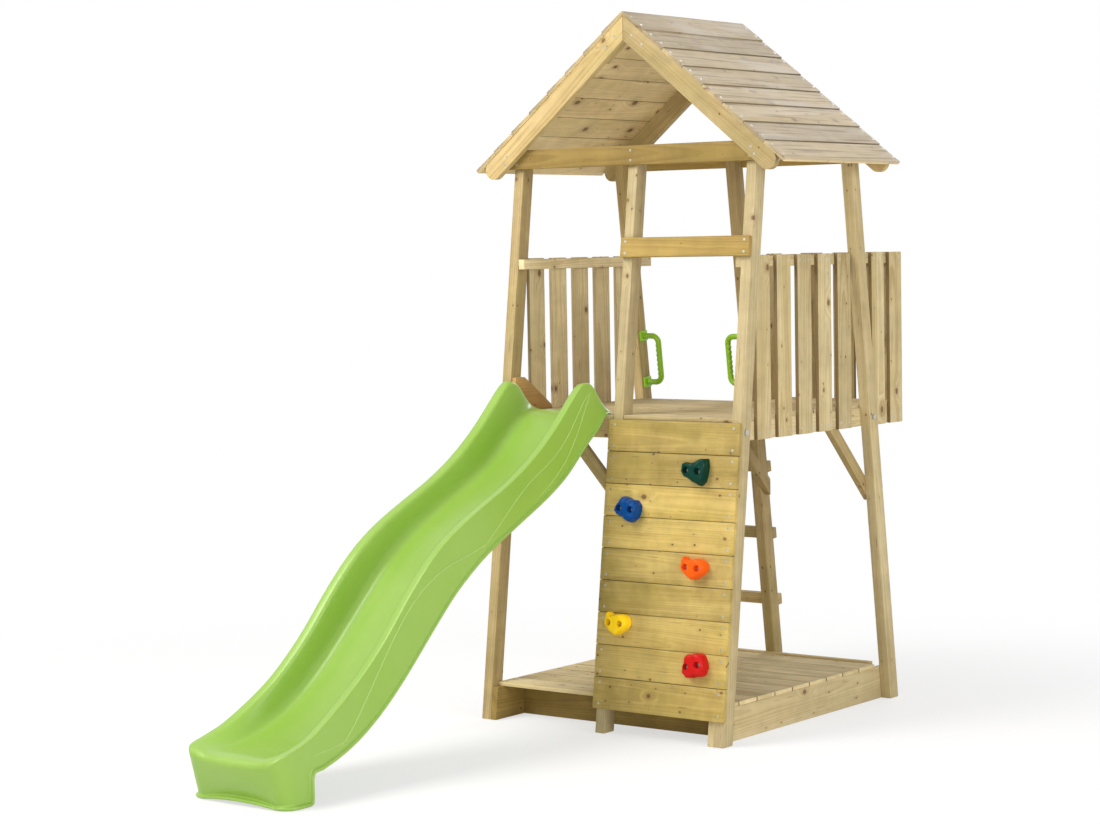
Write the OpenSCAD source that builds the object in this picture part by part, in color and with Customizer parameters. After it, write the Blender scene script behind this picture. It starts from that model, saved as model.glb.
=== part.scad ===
// Wooden climbing frame: a six-post tower with a gable roof, a wavy slide,
// a climbing wall with holds, a ladder and a small balcony. Millimetres, Z up.
// The front with slide and wall looks along -Y. The origin lies on the ground
// under the middle of the whole object.

/* [Posts] */
// Width over the outer faces of the left and right posts
tower_w = 1134; // [1000:1:1400]
// Depth over the outer faces of the front and back posts at the ground
foot_depth = 1286; // [1150:1:1500]
// Lean of each post towards the middle, in degrees
post_lean = 7.3; // [4:0.1:9]
// Post width, left to right
post_w = 43; // [35:1:60]
// Post depth, square to its lean
post_d = 63; // [50:1:80]
// Sideways place of the middle posts
mid_post_x = 6; // [-40:1:40]

/* [Base] */
// Height of the base boards
base_h = 127; // [90:1:180]
// Thickness of the base boards
base_t = 28; // [20:1:40]
// Set-back of the front joist behind the front posts' feet
joist_setback = 181; // [120:1:260]
// How far the back board stands above the lower deck
back_board_rise = 7; // [0:1:20]
// Number of lower deck boards
lower_count = 9; // [7:1:12]
// Front overhang of the lower deck, from the front posts' feet
lower_front = 53; // [30:1:90]

/* [Platform] */
// Height of the platform's top
platform_h = 1200; // [1050:1:1350]
// Thickness of all deck boards
deck_t = 16; // [12:1:24]
// Gap between deck boards
deck_gap = 4.5; // [2:0.5:8]
// Number of full platform boards
deck_count = 8; // [6:1:10]
// Height of the platform beams
beam_h = 73; // [55:1:100]
// Thickness of the platform beams
beam_t = 28; // [20:1:40]
// Room between a deck board and a post it goes round
notch_gap = 2; // [1:0.5:5]
// Set-back of a beam's free end from the posts' outer face
beam_inset = 6; // [2:1:20]
// How far the balcony stands out behind the back posts
balcony_d = 254; // [180:1:320]

/* [Braces] */
// Width of a brace
brace_w = 47; // [35:1:60]
// Thickness of a brace
brace_t = 28; // [20:1:28]
// Slope of a brace, in degrees
brace_angle = 45; // [40:1:50]
// How far a brace reaches along its beam
brace_reach = 170; // [120:1:220]
// How far a back brace laps the post
brace_lap = 44; // [30:1:55]

/* [Railings] */
// Height of the slats' tops above the platform
railing_h = 600; // [500:1:700]
// Slat width
slat_w = 98; // [80:1:105]
// Slat thickness
slat_t = 16; // [12:1:20]
// Room between a post and the slat next to it
slat_room = 6; // [3:1:12]
// Slats between the side posts
slat_count = 5; // [4:1:5]
// Rail height
rail_h = 40; // [30:1:60]
// Rail thickness
rail_t = 28; // [20:1:40]
// How far the slats stand above the rail
slat_proud = 4; // [0:1:15]
// Free end of the left rail past the back post
rail_end = 40; // [10:1:80]
// Distance from one balcony back slat to the next
back_slat_pitch = 155; // [130:1:170]

/* [Cross rail] */
// Height of the cross rail's lower edge above the platform
cross_rise = 597; // [500:1:700]
// Cross rail height
cross_h = 75; // [55:1:95]
// Cross rail thickness
cross_t = 22; // [16:1:32]

/* [Climbing wall] */
// Height of the wall's lower edge, along the posts
wall_z = 94; // [60:1:140]
// Number of wall boards
wall_count = 9; // [8:1:9]
// Height from the wall's top edge up to the platform
wall_drop = 17; // [12:1:40]
// Gap between wall boards
wall_gap = 1.2; // [0.6:0.2:3]
// Wall board thickness
wall_t = 20; // [16:1:28]
// Overhang of the wall past the posts on each side
wall_over = 6; // [0:1:12]

/* [Holds] */
// Width of a hold
hold_w = 118; // [100:1:130]
// How far a hold stands out from the wall
hold_h = 48; // [35:1:65]
// Distance between the two bolts of a hold
hold_bolt_pitch = 52; // [40:1:54]
// Bolt diameter
hold_bolt_d = 10; // [8:1:12]
// Bolt head diameter
hold_head_d = 16; // [13:1:17]
// Height of the bolt seat over the wall
hold_seat = 22; // [16:1:28]

/* [Roof] */
// Height of the rafters' top at the ridge
ridge_z = 2718; // [2600:1:2850]
// Roof pitch, in degrees
roof_pitch = 39; // [36:0.5:42]
// Roof boards on each slope
roof_count = 8; // [7:1:9]
// Width of a roof board
roof_board_w = 115; // [100:1:125]
// Board thickness at its lower edge
roof_t = 16; // [13:1:22]
// Board thickness at its upper edge
roof_t_thin = 12; // [8:1:12]
// Gap between roof boards
roof_gap = 1; // [0.4:0.2:3]
// Overhang of the boards past the rafters, front and back
roof_over = 5; // [0:1:25]
// Rafter depth
rafter_d = 75; // [60:1:90]
// Rafter thickness
rafter_t = 28; // [20:1:40]
// Rafter length from the ridge to the centre of its round end
rafter_len = 855; // [800:1:870]
// Height of the tie beams' lower edge
tie_z = 2150; // [2080:1:2160]
// Tie beam height
tie_h = 75; // [60:1:80]
// Tie beam thickness
tie_t = 28; // [20:1:40]
// Overhang of a tie beam past the outer posts
tie_over = 30; // [10:1:34]
// Thickness of the plate behind each rafter joint
apex_t = 20; // [12:1:25]
// Length of the apex plate's arms
apex_arm = 190; // [170:1:230]

/* [Ladder] */
// Height of the lowest rung's centre, along the posts
rung_z = 365; // [300:1:420]
// Distance from one rung to the next
rung_pitch = 282; // [240:1:300]
// Rung height
rung_h = 45; // [36:1:60]
// Rung thickness
rung_t = 28; // [20:1:35]

/* [Grab handles] */
// Height of a handle's middle above the platform, along the posts
handle_rise = 181; // [150:1:250]
// Distance between a handle's two feet
handle_span = 196; // [150:1:230]
// How far the grip stands off the post
handle_off = 80; // [60:1:95]
// Grip diameter
handle_d = 24; // [18:1:28]
// Bend radius of the grip's corners
handle_bend = 28; // [20:1:40]
// Height of a foot plate
handle_foot_h = 44; // [36:1:50]
// Width of a foot plate
handle_foot_w = 48; // [30:1:50]
// Thickness of a foot plate
handle_foot_t = 12; // [8:1:16]

/* [Slide] */
// Slide length, measured flat from the platform's edge
slide_run = 1840; // [1700:1:2000]
// Height of the run-out above the ground
slide_exit = 172; // [120:1:220]
// Width over the skirts at the ground
slide_w = 430; // [380:1:440]
// Width over the rims
slide_rim_w = 396; // [340:1:410]
// Width of the flat bed
slide_bed_w = 250; // [200:1:270]
// Width of the rounded rim
slide_rim_t = 22; // [14:1:30]
// Thickness of the bed
slide_bed_t = 12; // [9:1:20]
// Wall thickness of the skirts and rims
slide_wall_t = 6; // [4:0.5:6.5]
// Length of the slide's top lip on the platform
slide_lip = 40; // [25:1:60]
// Sections along the slide
slide_steps = 44; // [24:1:60]

/* [Slide cheek] */
// Height of the cheek board's front end above the platform
cheek_h = 132; // [90:1:170]
// Height of its back end
cheek_low = 14; // [8:1:40]
// Length of the cheek board
cheek_len = 255; // [200:1:320]
// Cheek board thickness
cheek_t = 20; // [14:1:28]

/* [Fasteners] */
// Screw shank diameter
screw_d = 4.5; // [3.5:0.5:6]
// Screw head diameter
screw_head_d = 10; // [8:0.5:12]
// Screw head thickness
screw_head_h = 2.5; // [2:0.5:3.5]
// How far a screw head stands out
screw_proud = 0.6; // [0.2:0.2:1.6]
// How far a screw bites behind the board it holds
screw_bite = 18; // [14:1:19]
// Room round a screw or bolt
screw_room = 0.2; // [0.1:0.1:0.4]
// Frame bolt diameter
bolt_d = 10; // [8:1:12]
// Frame bolt head diameter
bolt_head_d = 22; // [18:1:26]
// Frame bolt head thickness
bolt_head_h = 6; // [4:1:8]

/* [Hidden] */
$fn = 48;
eps = 1;
lean_tan = tan(post_lean);
lean_cos = cos(post_lean);
post_run = post_d / lean_cos;
post_h = tie_z + tie_h;
half_w = tower_w / 2;
inner_x = half_w - post_w;
mid_left = mid_post_x - post_w / 2;
mid_right = mid_post_x + post_w / 2;
post_xs = [-half_w + post_w / 2, mid_post_x, half_w - post_w / 2];
function front_y(z) = -foot_depth / 2 + z * lean_tan;
function rear_face_y(z) = front_y(z) + post_run;
seat_y = front_y(post_h);

deck_z = platform_h - deck_t;
beam_z = deck_z - beam_h;
deck_front = front_y(platform_h);
deck_back = -rear_face_y(platform_h);
deck_pitch = (deck_back - deck_front) / deck_count;
deck_board_w = deck_pitch - deck_gap;
beam_front = front_y(beam_z) + beam_inset + lean_tan * beam_h;
balcony_y = -front_y(platform_h) + balcony_d;
balcony_in = balcony_y - slat_t;
balcony_rows = ceil((balcony_in - deck_back) / deck_pitch);
front_beam_y = (front_y(beam_z) + rear_face_y(beam_z)) / 2;

lower_top = base_h + deck_t;
joist_y = -foot_depth / 2 + joist_setback;
back_board_h = lower_top + back_board_rise;
back_board_y = -rear_face_y(back_board_h) - base_t;
lower_y0 = -foot_depth / 2 + lower_front;
lower_pitch = (back_board_y - lower_y0) / lower_count;

slat_z1 = platform_h + railing_h;
slat_len = slat_z1 - beam_z;
rail_z = slat_z1 - slat_proud - rail_h;
rail_front = rear_face_y(rail_z) - post_run + beam_inset;
back_slat_count = 3;
balcony_mid_x = (mid_right + inner_x) / 2;
side_slat_y = (-front_y(platform_h) + balcony_in) / 2;
side_slat_y0 = rear_face_y(slat_z1) + slat_room + slat_w / 2;
slat_pitch = -2 * side_slat_y0 / (slat_count - 1);
tail_slat_y = [slat_w / 2 + slat_room - front_y(beam_z), balcony_y - slat_w / 2];

cross_z = platform_h + cross_rise;
handle_z = platform_h + handle_rise;
wall_pitch = ((platform_h - wall_drop) / lean_cos + wall_gap - wall_z) / wall_count;
wall_board_h = wall_pitch - wall_gap;
wall_x0 = mid_left - wall_over;
wall_w = half_w - mid_left + 2 * wall_over;
wall_screw_x = [post_xs[1], post_xs[2]];
wall_screw_inset = 20;

rafter_y = -seat_y + tie_t;
roof_half = rafter_y + rafter_t + roof_over;
ridge_gap = roof_gap / 2;
tie_x = half_w + tie_over;
tie_screw_z = [tie_h / 4, tie_h * 3 / 4];
apex_drop = 8;

rung_count = 3;
slide_x = (mid_left - inner_x) / 2;
slide_y0 = deck_front;
slide_drop = platform_h + slide_bed_t - slide_exit;

// Colours of the preview
pine = "#d8c48a";
lime = "#86c440";
zinc = "silver";

// Frames of reference
// The tower's middle is set back so that the origin is under the whole object's middle
slide_tip = slide_y0 - slide_run;
module placed() {
    translate([0, -(slide_tip + balcony_y) / 2, 0]) children();
}
// The front posts' front face: Z runs up along the posts, Y points inward
module on_front() {
    translate([0, -foot_depth / 2, 0]) rotate([-post_lean, 0, 0]) children();
}
// The back posts' back face: Z runs up along the posts, Y points outward
module on_back() {
    translate([0, foot_depth / 2, 0]) rotate([post_lean, 0, 0]) children();
}
// A board with a side outline in Y and Z, from x, of width w
module yz_board(x, w, pts) {
    translate([x, 0, 0]) rotate([90, 0, 90]) linear_extrude(w) polygon(pts);
}
// A board with a front outline in X and Z, from y, of width w
module xz_board(y, w, pts) {
    translate([0, y + w, 0]) rotate([90, 0, 0]) linear_extrude(w) polygon(pts);
}
// A box between two corners
module box(a, b) {
    translate(a) cube(b - a);
}

// Fasteners
// A screw whose head's seat is the plane Z = 0, pointing down, for a board of thickness t
module screw(t) {
    translate([0, 0, screw_proud - screw_head_h]) cylinder(d = screw_head_d, h = screw_head_h);
    translate([0, 0, -t - screw_bite])
        cylinder(d = screw_d, h = t + screw_bite - screw_head_h + screw_proud);
}
// The hole for that screw
module screw_hole(t) {
    translate([0, 0, screw_proud - screw_head_h])
        cylinder(d = screw_head_d + 2 * screw_room, h = screw_head_h + eps);
    translate([0, 0, -t - screw_bite - screw_room])
        cylinder(d = screw_d + 2 * screw_room, h = t + screw_bite + eps);
}

// Places of the wall screws, in the wall's outer face, for one end of the boards
wall_screw_e = [wall_screw_inset, wall_board_h - wall_screw_inset];
module wall_screw_places(x) {
    on_front() for (i = [0 : wall_count - 1]) for (e = wall_screw_e)
        translate([x, -wall_t, wall_z + i * wall_pitch + e]) rotate([90, 0, 0]) children();
}
// Places of the cross rail's screws, for one end
module cross_screw_places(x) {
    on_front() for (e = [cross_h / 5, cross_h * 4 / 5])
        translate([x, -cross_t, cross_z / lean_cos + e]) rotate([90, 0, 0]) children();
}
// Places of a tie beam's screws at one post, on the front or, with side -1, on the back;
// their heads are sunk, because a rafter covers some of them
tie_sink = screw_proud + screw_room;
module tie_screw_places(x, side) {
    for (e = tie_screw_z)
        translate([x, side * (seat_y - tie_t + tie_sink), tie_z + e])
            rotate([side * 90, 0, 0]) children();
}
// A point u down the slope from the ridge and v square out of it, on one side of the roof
function slope_pt(side, u, v) = [
    side * (u * cos(roof_pitch) + v * sin(roof_pitch)),
    ridge_z - u * sin(roof_pitch) + v * cos(roof_pitch)
];
// Places of the screws that hold a rafter to the apex plate and to the tie beam
apex_screw_u = [80, 140];
tie_screw_at = [[half_w + 3, tie_h * 2 / 3], [half_w + 18, tie_h * 0.3]];
module rafter_apex_places(side, end) {
    for (u = apex_screw_u) {
        p = slope_pt(side, u, -rafter_d / 2);
        translate([p[0], -end * (rafter_y + rafter_t), p[1]]) rotate([end * 90, 0, 0]) children();
    }
}
module rafter_tie_places(side, end) {
    for (p = tie_screw_at)
        translate([side * p[0], -end * (rafter_y + rafter_t), tie_z + p[1]])
            rotate([end * 90, 0, 0]) children();
}
// Places of the roof boards' screws over one rafter; end 1 is the front
roof_screw_u = [0.25, 0.75];
module roof_screw_places(side, end) {
    for (i = [0 : roof_count - 1]) for (k = roof_screw_u) {
        u = (i + k) * roof_board_w;
        t = roof_t_thin + (roof_t - roof_t_thin) * k;
        p = slope_pt(side, u, t);
        translate([p[0], -end * (rafter_y + rafter_t / 2), p[1]])
            rotate([0, side * roof_pitch, 0]) children();
    }
}
// Places of the slat screws of a list of slats; way 1 faces +X and way -1 faces -X
slat_screw_inset = 18;
slat_screw_z = [beam_z + beam_h / 3, rail_z + rail_h / 2];
slat_screw_off = slat_w / 2 - slat_screw_inset;
module side_slat_screw_places(x, way, ys) {
    for (y = ys) for (z = slat_screw_z) for (d = [-slat_screw_off, slat_screw_off])
        translate([x, y + d, z]) rotate([0, way * 90, 0]) children();
}
module back_slat_screw_places() {
    for (i = [0 : back_slat_count - 1]) for (z = slat_screw_z) for (d = [-slat_screw_off, slat_screw_off])
        translate([back_slat_x(i) + d, balcony_y, z]) rotate([-90, 0, 0]) children();
}
// Places of the rung screws at one post
module rung_screw_places(x) {
    on_back() for (i = [0 : rung_count - 1]) for (e = [-rung_h / 4, rung_h / 4])
        translate([x, rung_t, rung_z + i * rung_pitch + e]) rotate([-90, 0, 0]) children();
}
// Places of the frame bolts on one post, from its outer face; way points from the head to the nut
bolt_z = beam_z + beam_h / 2;
bolt_y = (front_y(bolt_z) + rear_face_y(bolt_z)) / 2;
module bolt_places(x, way) {
    for (end = [-1, 1]) translate([x, -end * bolt_y, bolt_z]) rotate([0, way * 90, 0]) children();
}
module bolt_hole() {
    translate([0, 0, -post_w - beam_t - eps])
        cylinder(d = bolt_d + 2 * screw_room, h = post_w + beam_t + 2 * eps);
}
// The pocket for a bolt's head or nut in a board that butts against its seat
module bolt_pocket() {
    for (z = [-screw_room, -post_w - beam_t - bolt_head_h - screw_room])
        translate([0, 0, z]) cylinder(d = bolt_head_d + 2 * screw_room, h = bolt_head_h + 2 * screw_room);
}
module bolt() {
    cylinder(d = bolt_head_d, h = bolt_head_h);
    translate([0, 0, -post_w - beam_t]) cylinder(d = bolt_d, h = post_w + beam_t);
    translate([0, 0, -post_w - beam_t - bolt_head_h]) cylinder(d = bolt_head_d, h = bolt_head_h);
}

// Posts
// side 1 is a front post and side -1 a back post; the top has an upright seat for the tie beam
function post_pts(side) = [
    [side * front_y(0), 0], [side * rear_face_y(0), 0],
    [side * rear_face_y(post_h), post_h], [side * seat_y, post_h],
    [side * seat_y, tie_z], [side * front_y(tie_z), tie_z]
];
module post(x, side) {
    color(pine) yz_board(x, post_w, post_pts(side));
}
module post_front_left() {
    placed() difference() {
        post(-half_w, 1);
        bolt_places(-half_w, -1) bolt_hole();
        tie_screw_places(post_xs[0], 1) screw_hole(tie_t);
    }
}
module post_front_middle() {
    placed() difference() {
        post(mid_left, 1);
        bolt_places(mid_left, -1) bolt_hole();
        tie_screw_places(post_xs[1], 1) screw_hole(tie_t);
        wall_screw_places(wall_screw_x[0]) screw_hole(wall_t);
        cross_screw_places(wall_screw_x[0]) screw_hole(cross_t);
    }
}
module post_front_right() {
    placed() difference() {
        post(inner_x, 1);
        bolt_places(half_w, 1) bolt_hole();
        tie_screw_places(post_xs[2], 1) screw_hole(tie_t);
        wall_screw_places(wall_screw_x[1]) screw_hole(wall_t);
        cross_screw_places(wall_screw_x[1]) screw_hole(cross_t);
    }
}
module post_back_left() {
    placed() difference() {
        post(-half_w, -1);
        bolt_places(-half_w, -1) bolt_hole();
        tie_screw_places(post_xs[0], -1) screw_hole(tie_t);
        rung_screw_places(post_xs[0]) screw_hole(rung_t);
    }
}
module post_back_middle() {
    placed() difference() {
        post(mid_left, -1);
        bolt_places(mid_left, -1) bolt_hole();
        tie_screw_places(post_xs[1], -1) screw_hole(tie_t);
        rung_screw_places(post_xs[1]) screw_hole(rung_t);
    }
}
module post_back_right() {
    placed() difference() {
        post(inner_x, -1);
        bolt_places(half_w, 1) bolt_hole();
        tie_screw_places(post_xs[2], -1) screw_hole(tie_t);
    }
}

// Base
base_pts = [
    [front_y(0), 0], [-front_y(0), 0], [-front_y(base_h), base_h], [front_y(base_h), base_h]
];
module base_board_left() {
    color(pine) placed() yz_board(-inner_x, base_t, base_pts);
}
module base_board_right() {
    color(pine) placed() yz_board(inner_x - base_t, base_t, base_pts);
}
module base_board_back() {
    color(pine) placed()
        box([-inner_x + base_t, back_board_y, 0],
            [inner_x - base_t, back_board_y + base_t, back_board_h]);
}
module base_joist_front() {
    color(pine) placed()
        box([-inner_x + base_t, joist_y, 0], [inner_x - base_t, joist_y + base_t, base_h]);
}
module base_joist_middle() {
    color(pine) placed()
        box([mid_post_x - base_t / 2, joist_y + base_t, 0],
            [mid_post_x + base_t / 2, back_board_y, base_h]);
}
// The lower deck's boards run left to right, and the front one goes round the middle post
module lower_deck_boards() {
    color(pine) placed() difference() {
        for (i = [0 : lower_count - 1])
            box([-inner_x, lower_y0 + i * lower_pitch, base_h],
                [inner_x, lower_y0 + (i + 1) * lower_pitch - deck_gap, lower_top]);
        box([mid_left - notch_gap, front_y(0) - eps, base_h - eps],
            [mid_right + notch_gap, rear_face_y(lower_top) + notch_gap, lower_top + eps]);
    }
}

// Platform
module platform_beam_left() {
    color(pine) placed() difference() {
        box([-inner_x, beam_front, beam_z], [-inner_x + beam_t, -beam_front, deck_z]);
        bolt_places(-half_w, -1) bolt_hole();
        side_slat_screw_places(-inner_x - slat_t, -1, side_slats) screw_hole(slat_t);
    }
}
module platform_beam_middle() {
    color(pine) placed() difference() {
        box([mid_right, beam_front, beam_z], [mid_right + beam_t, balcony_in, deck_z]);
        bolt_places(mid_left, -1) bolt_hole();
        side_slat_screw_places(mid_right - slat_t, -1, [side_slat_y]) screw_hole(slat_t);
        back_slat_screw_places() screw_hole(slat_t);
    }
}
module platform_beam_right() {
    color(pine) placed() difference() {
        box([inner_x - beam_t, beam_front, beam_z], [inner_x, balcony_in, deck_z]);
        bolt_places(half_w, 1) bolt_hole();
        side_slat_screw_places(inner_x + slat_t, 1, right_slats) screw_hole(slat_t);
    }
}
module platform_beam_front() {
    color(pine) placed() difference() {
        box([-inner_x + beam_t, front_beam_y - beam_t / 2, beam_z],
            [mid_left, front_beam_y + beam_t / 2, deck_z]);
        bolt_places(-half_w, -1) bolt_pocket();
        bolt_places(mid_left, -1) bolt_pocket();
    }
}
module platform_beam_back() {
    color(pine) placed()
        box([-inner_x + beam_t, deck_back - beam_t, beam_z], [mid_right, deck_back, deck_z]);
}
module balcony_beam() {
    color(pine) placed() difference() {
        box([mid_right + beam_t, balcony_in - beam_t, beam_z], [inner_x - beam_t, balcony_in, deck_z]);
        back_slat_screw_places() screw_hole(slat_t);
    }
}
module platform_deck_boards() {
    color(pine) placed() difference() {
        for (i = [0 : deck_count - 1])
            box([-inner_x, deck_front + i * deck_pitch, deck_z],
                [inner_x, deck_front + (i + 1) * deck_pitch - deck_gap, platform_h]);
        box([mid_left - notch_gap, front_y(0), deck_z - eps],
            [mid_right + notch_gap, rear_face_y(platform_h) + notch_gap, platform_h + eps]);
    }
}
// The balcony's boards lie in the right half only, and the last one is ripped to fit
module balcony_deck_boards() {
    color(pine) placed() for (i = [0 : balcony_rows - 1])
        box([mid_right + notch_gap, deck_back + i * deck_pitch, deck_z],
            [inner_x, min(deck_back + (i + 1) * deck_pitch - deck_gap, balcony_in), platform_h]);
}

// Braces
brace_cut = brace_w / sin(brace_angle);
// A back brace under a beam that runs front to back; its foot laps the back post's side
module back_brace(x) {
    top = -rear_face_y(beam_z) - brace_reach;
    foot = -rear_face_y(beam_z - brace_reach) + brace_lap;
    color(pine) placed() yz_board(x, brace_t, [
        [top, beam_z], [top - brace_cut, beam_z],
        [foot, beam_z - (foot - top + brace_cut) * tan(brace_angle)],
        [foot, beam_z - (foot - top) * tan(brace_angle)]
    ]);
}
module brace_back_left() {
    back_brace(-inner_x);
}
module brace_back_middle() {
    back_brace(mid_right);
}
module brace_back_right() {
    back_brace(inner_x - brace_t);
}
// The front brace leans with the posts, from the middle post up to the front beam
module brace_front_middle() {
    y0 = (post_d - brace_t) / 2;
    z1 = (beam_z + y0 * sin(post_lean)) / lean_cos;
    drop = brace_reach * tan(brace_angle);
    color(pine) placed() on_front() xz_board(y0, brace_t, [
        [mid_left, z1 - drop], [mid_left - brace_reach, z1],
        [mid_left - brace_reach - brace_cut, z1], [mid_left, z1 - drop - brace_cut * tan(brace_angle)]
    ]);
}

// Railings
side_slats = [for (i = [0 : slat_count - 1]) side_slat_y0 + i * slat_pitch];
right_slats = concat(side_slats, tail_slat_y);
function back_slat_x(i) = balcony_mid_x + (i - (back_slat_count - 1) / 2) * back_slat_pitch;
module railing_left_rail() {
    color(pine) placed() difference() {
        box([-inner_x, rail_front, rail_z],
            [-inner_x + rail_t, -front_y(rail_z) + rail_end, rail_z + rail_h]);
        side_slat_screw_places(-inner_x - slat_t, -1, side_slats) screw_hole(slat_t);
    }
}
module railing_right_rail() {
    color(pine) placed() difference() {
        box([inner_x - rail_t, rail_front, rail_z], [inner_x, balcony_in, rail_z + rail_h]);
        side_slat_screw_places(inner_x + slat_t, 1, right_slats) screw_hole(slat_t);
    }
}
module balcony_side_rail() {
    color(pine) placed() difference() {
        box([mid_right, -rear_face_y(rail_z), rail_z], [mid_right + rail_t, balcony_in, rail_z + rail_h]);
        side_slat_screw_places(mid_right - slat_t, -1, [side_slat_y]) screw_hole(slat_t);
        back_slat_screw_places() screw_hole(slat_t);
    }
}
module balcony_back_rail() {
    color(pine) placed() difference() {
        box([mid_right + rail_t, balcony_in - rail_t, rail_z],
            [inner_x - rail_t, balcony_in, rail_z + rail_h]);
        back_slat_screw_places() screw_hole(slat_t);
    }
}
// Upright slats in the X range from x to x + slat_t
module side_slat_set(x, ys) {
    for (y = ys) box([x, y - slat_w / 2, beam_z], [x + slat_t, y + slat_w / 2, slat_z1]);
}
module railing_left_slats() {
    color(pine) placed() difference() {
        side_slat_set(-inner_x - slat_t, side_slats);
        side_slat_screw_places(-inner_x - slat_t, -1, side_slats) screw_hole(slat_t);
    }
}
module railing_right_slats() {
    color(pine) placed() difference() {
        side_slat_set(inner_x, right_slats);
        side_slat_screw_places(inner_x + slat_t, 1, right_slats) screw_hole(slat_t);
    }
}
module balcony_side_slat() {
    color(pine) placed() difference() {
        side_slat_set(mid_right - slat_t, [side_slat_y]);
        side_slat_screw_places(mid_right - slat_t, -1, [side_slat_y]) screw_hole(slat_t);
    }
}
module balcony_back_slats() {
    color(pine) placed() difference() {
        for (i = [0 : back_slat_count - 1])
            box([back_slat_x(i) - slat_w / 2, balcony_in, beam_z],
                [back_slat_x(i) + slat_w / 2, balcony_y, slat_z1]);
        back_slat_screw_places() screw_hole(slat_t);
    }
}

// Cross rail and climbing wall on the front posts
module cross_rail() {
    color(pine) placed() difference() {
        on_front() box([mid_left, -cross_t, cross_z / lean_cos],
            [half_w, 0, cross_z / lean_cos + cross_h]);
        for (x = wall_screw_x) cross_screw_places(x) screw_hole(cross_t);
    }
}
module climbing_wall_boards() {
    color(pine) placed() difference() {
        on_front() for (i = [0 : wall_count - 1])
            box([wall_x0, -wall_t, wall_z + i * wall_pitch],
                [wall_x0 + wall_w, 0, wall_z + i * wall_pitch + wall_board_h]);
        for (x = wall_screw_x) wall_screw_places(x) screw_hole(wall_t);
        for (h = hold_places) hold_at(h) hold_bores();
    }
}

// Holds: place along the wall and turn of the pair of bolts; each has its own outline
hold_green_at = [400, 1010, -4];
hold_blue_at = [106, 855, -4];
hold_orange_at = [421, 652, -3];
hold_yellow_at = [88, 423, -3];
hold_red_at = [448, 293, 12];
hold_places = [hold_green_at, hold_blue_at, hold_orange_at, hold_yellow_at, hold_red_at];
module hold_at(h) {
    on_front() translate([h[0], -wall_t, h[1]]) rotate([90, 0, 0]) rotate([0, 0, h[2]]) children();
}
module hold_bores() {
    for (s = [-1, 1]) translate([s * hold_bolt_pitch / 2, 0, -wall_t - eps])
        cylinder(d = hold_bolt_d + 2 * screw_room, h = wall_t + hold_seat + 2 * eps);
}
// Rings of the hold's body: share of its outline and share of its height
hold_rings = [[1, 0], [1, 0.35], [0.97, 0.62], [0.91, 0.85], [0.8, 1]];
hold_steps = 4;
hold_head_room = 1;
// Outlines of the holds, in hundredths of half a hold's width
green_outline = [
    [-95, -8], [-88, 30], [-52, 42], [-14, 44], [38, 66], [75, 76], [88, 38], [88, -8], [80, -52],
    [54, -78], [14, -64], [-30, -46], [-68, -38]
];
blue_outline = [
    [-92, -14], [-80, 22], [-58, 44], [-40, 72], [-6, 66], [20, 56], [58, 58], [90, 30], [92, -10],
    [75, -48], [40, -76], [10, -72], [-6, -52], [-38, -50], [-74, -44]
];
flame_outline = [
    [-92, -20], [-80, 18], [-76, 62], [-52, 52], [-24, 46], [8, 58], [48, 64], [82, 42], [94, 6],
    [72, -30], [34, -62], [2, -80], [-26, -62], [-58, -42]
];
red_outline = [
    [-92, -30], [-80, 8], [-66, 26], [-54, 58], [-24, 72], [8, 66], [40, 72], [76, 54], [88, 18],
    [90, -20], [62, -62], [28, -70], [2, -56], [-24, -68], [-64, -66]
];
// A curve through the points of a closed outline
function curve_at(a, b, c, d, t) =
    (2 * b + (c - a) * t + (2 * a - 5 * b + 4 * c - d) * t * t + (3 * b - a - 3 * c + d) * t * t * t) / 2;
function curved(pts) = let (n = len(pts)) [for (i = [0 : n - 1]) for (k = [0 : hold_steps - 1])
    curve_at(pts[(i + n - 1) % n], pts[i], pts[(i + 1) % n], pts[(i + 2) % n], k / hold_steps)];
module hold_body(outline) {
    ring = [for (p = curved(outline)) p * hold_w / 200];
    n = len(ring);
    k = len(hold_rings);
    pts = [for (r = hold_rings) for (p = ring) [p[0] * r[0], p[1] * r[0], r[1] * hold_h]];
    side = [for (j = [0 : k - 2]) for (i = [0 : n - 1])
        let (m = (i + 1) % n) each [
            [j * n + i, (j + 1) * n + m, (j + 1) * n + i],
            [j * n + i, j * n + m, (j + 1) * n + m]
        ]];
    caps = [[for (i = [n - 1 : -1 : 0]) i], [for (i = [0 : n - 1]) (k - 1) * n + i]];
    difference() {
        polyhedron(pts, concat(side, caps));
        hold_bores();
        for (s = [-1, 1]) translate([s * hold_bolt_pitch / 2, 0, hold_seat])
            cylinder(d = hold_head_d + 2 * hold_head_room, h = hold_h);
    }
}
module hold_green() {
    color("#0f5a45") placed() hold_at(hold_green_at) hold_body(green_outline);
}
module hold_blue() {
    color("#1552a8") placed() hold_at(hold_blue_at) hold_body(blue_outline);
}
module hold_orange() {
    color("#f06a1e") placed() hold_at(hold_orange_at) hold_body(flame_outline);
}
module hold_yellow() {
    color("#f2c61c") placed() hold_at(hold_yellow_at) hold_body(flame_outline);
}
module hold_red() {
    color("#d8222c") placed() hold_at(hold_red_at) hold_body(red_outline);
}
module hold_bolts() {
    color(zinc) placed() for (h = hold_places) hold_at(h) for (s = [-1, 1])
        translate([s * hold_bolt_pitch / 2, 0, 0]) {
            translate([0, 0, -wall_t]) cylinder(d = hold_bolt_d, h = wall_t + hold_seat);
            translate([0, 0, hold_seat]) cylinder(d = hold_head_d, h = hold_bolt_d / 2);
            translate([0, 0, -wall_t - hold_bolt_d]) cylinder(d = hold_head_d, h = hold_bolt_d);
        }
}

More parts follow.
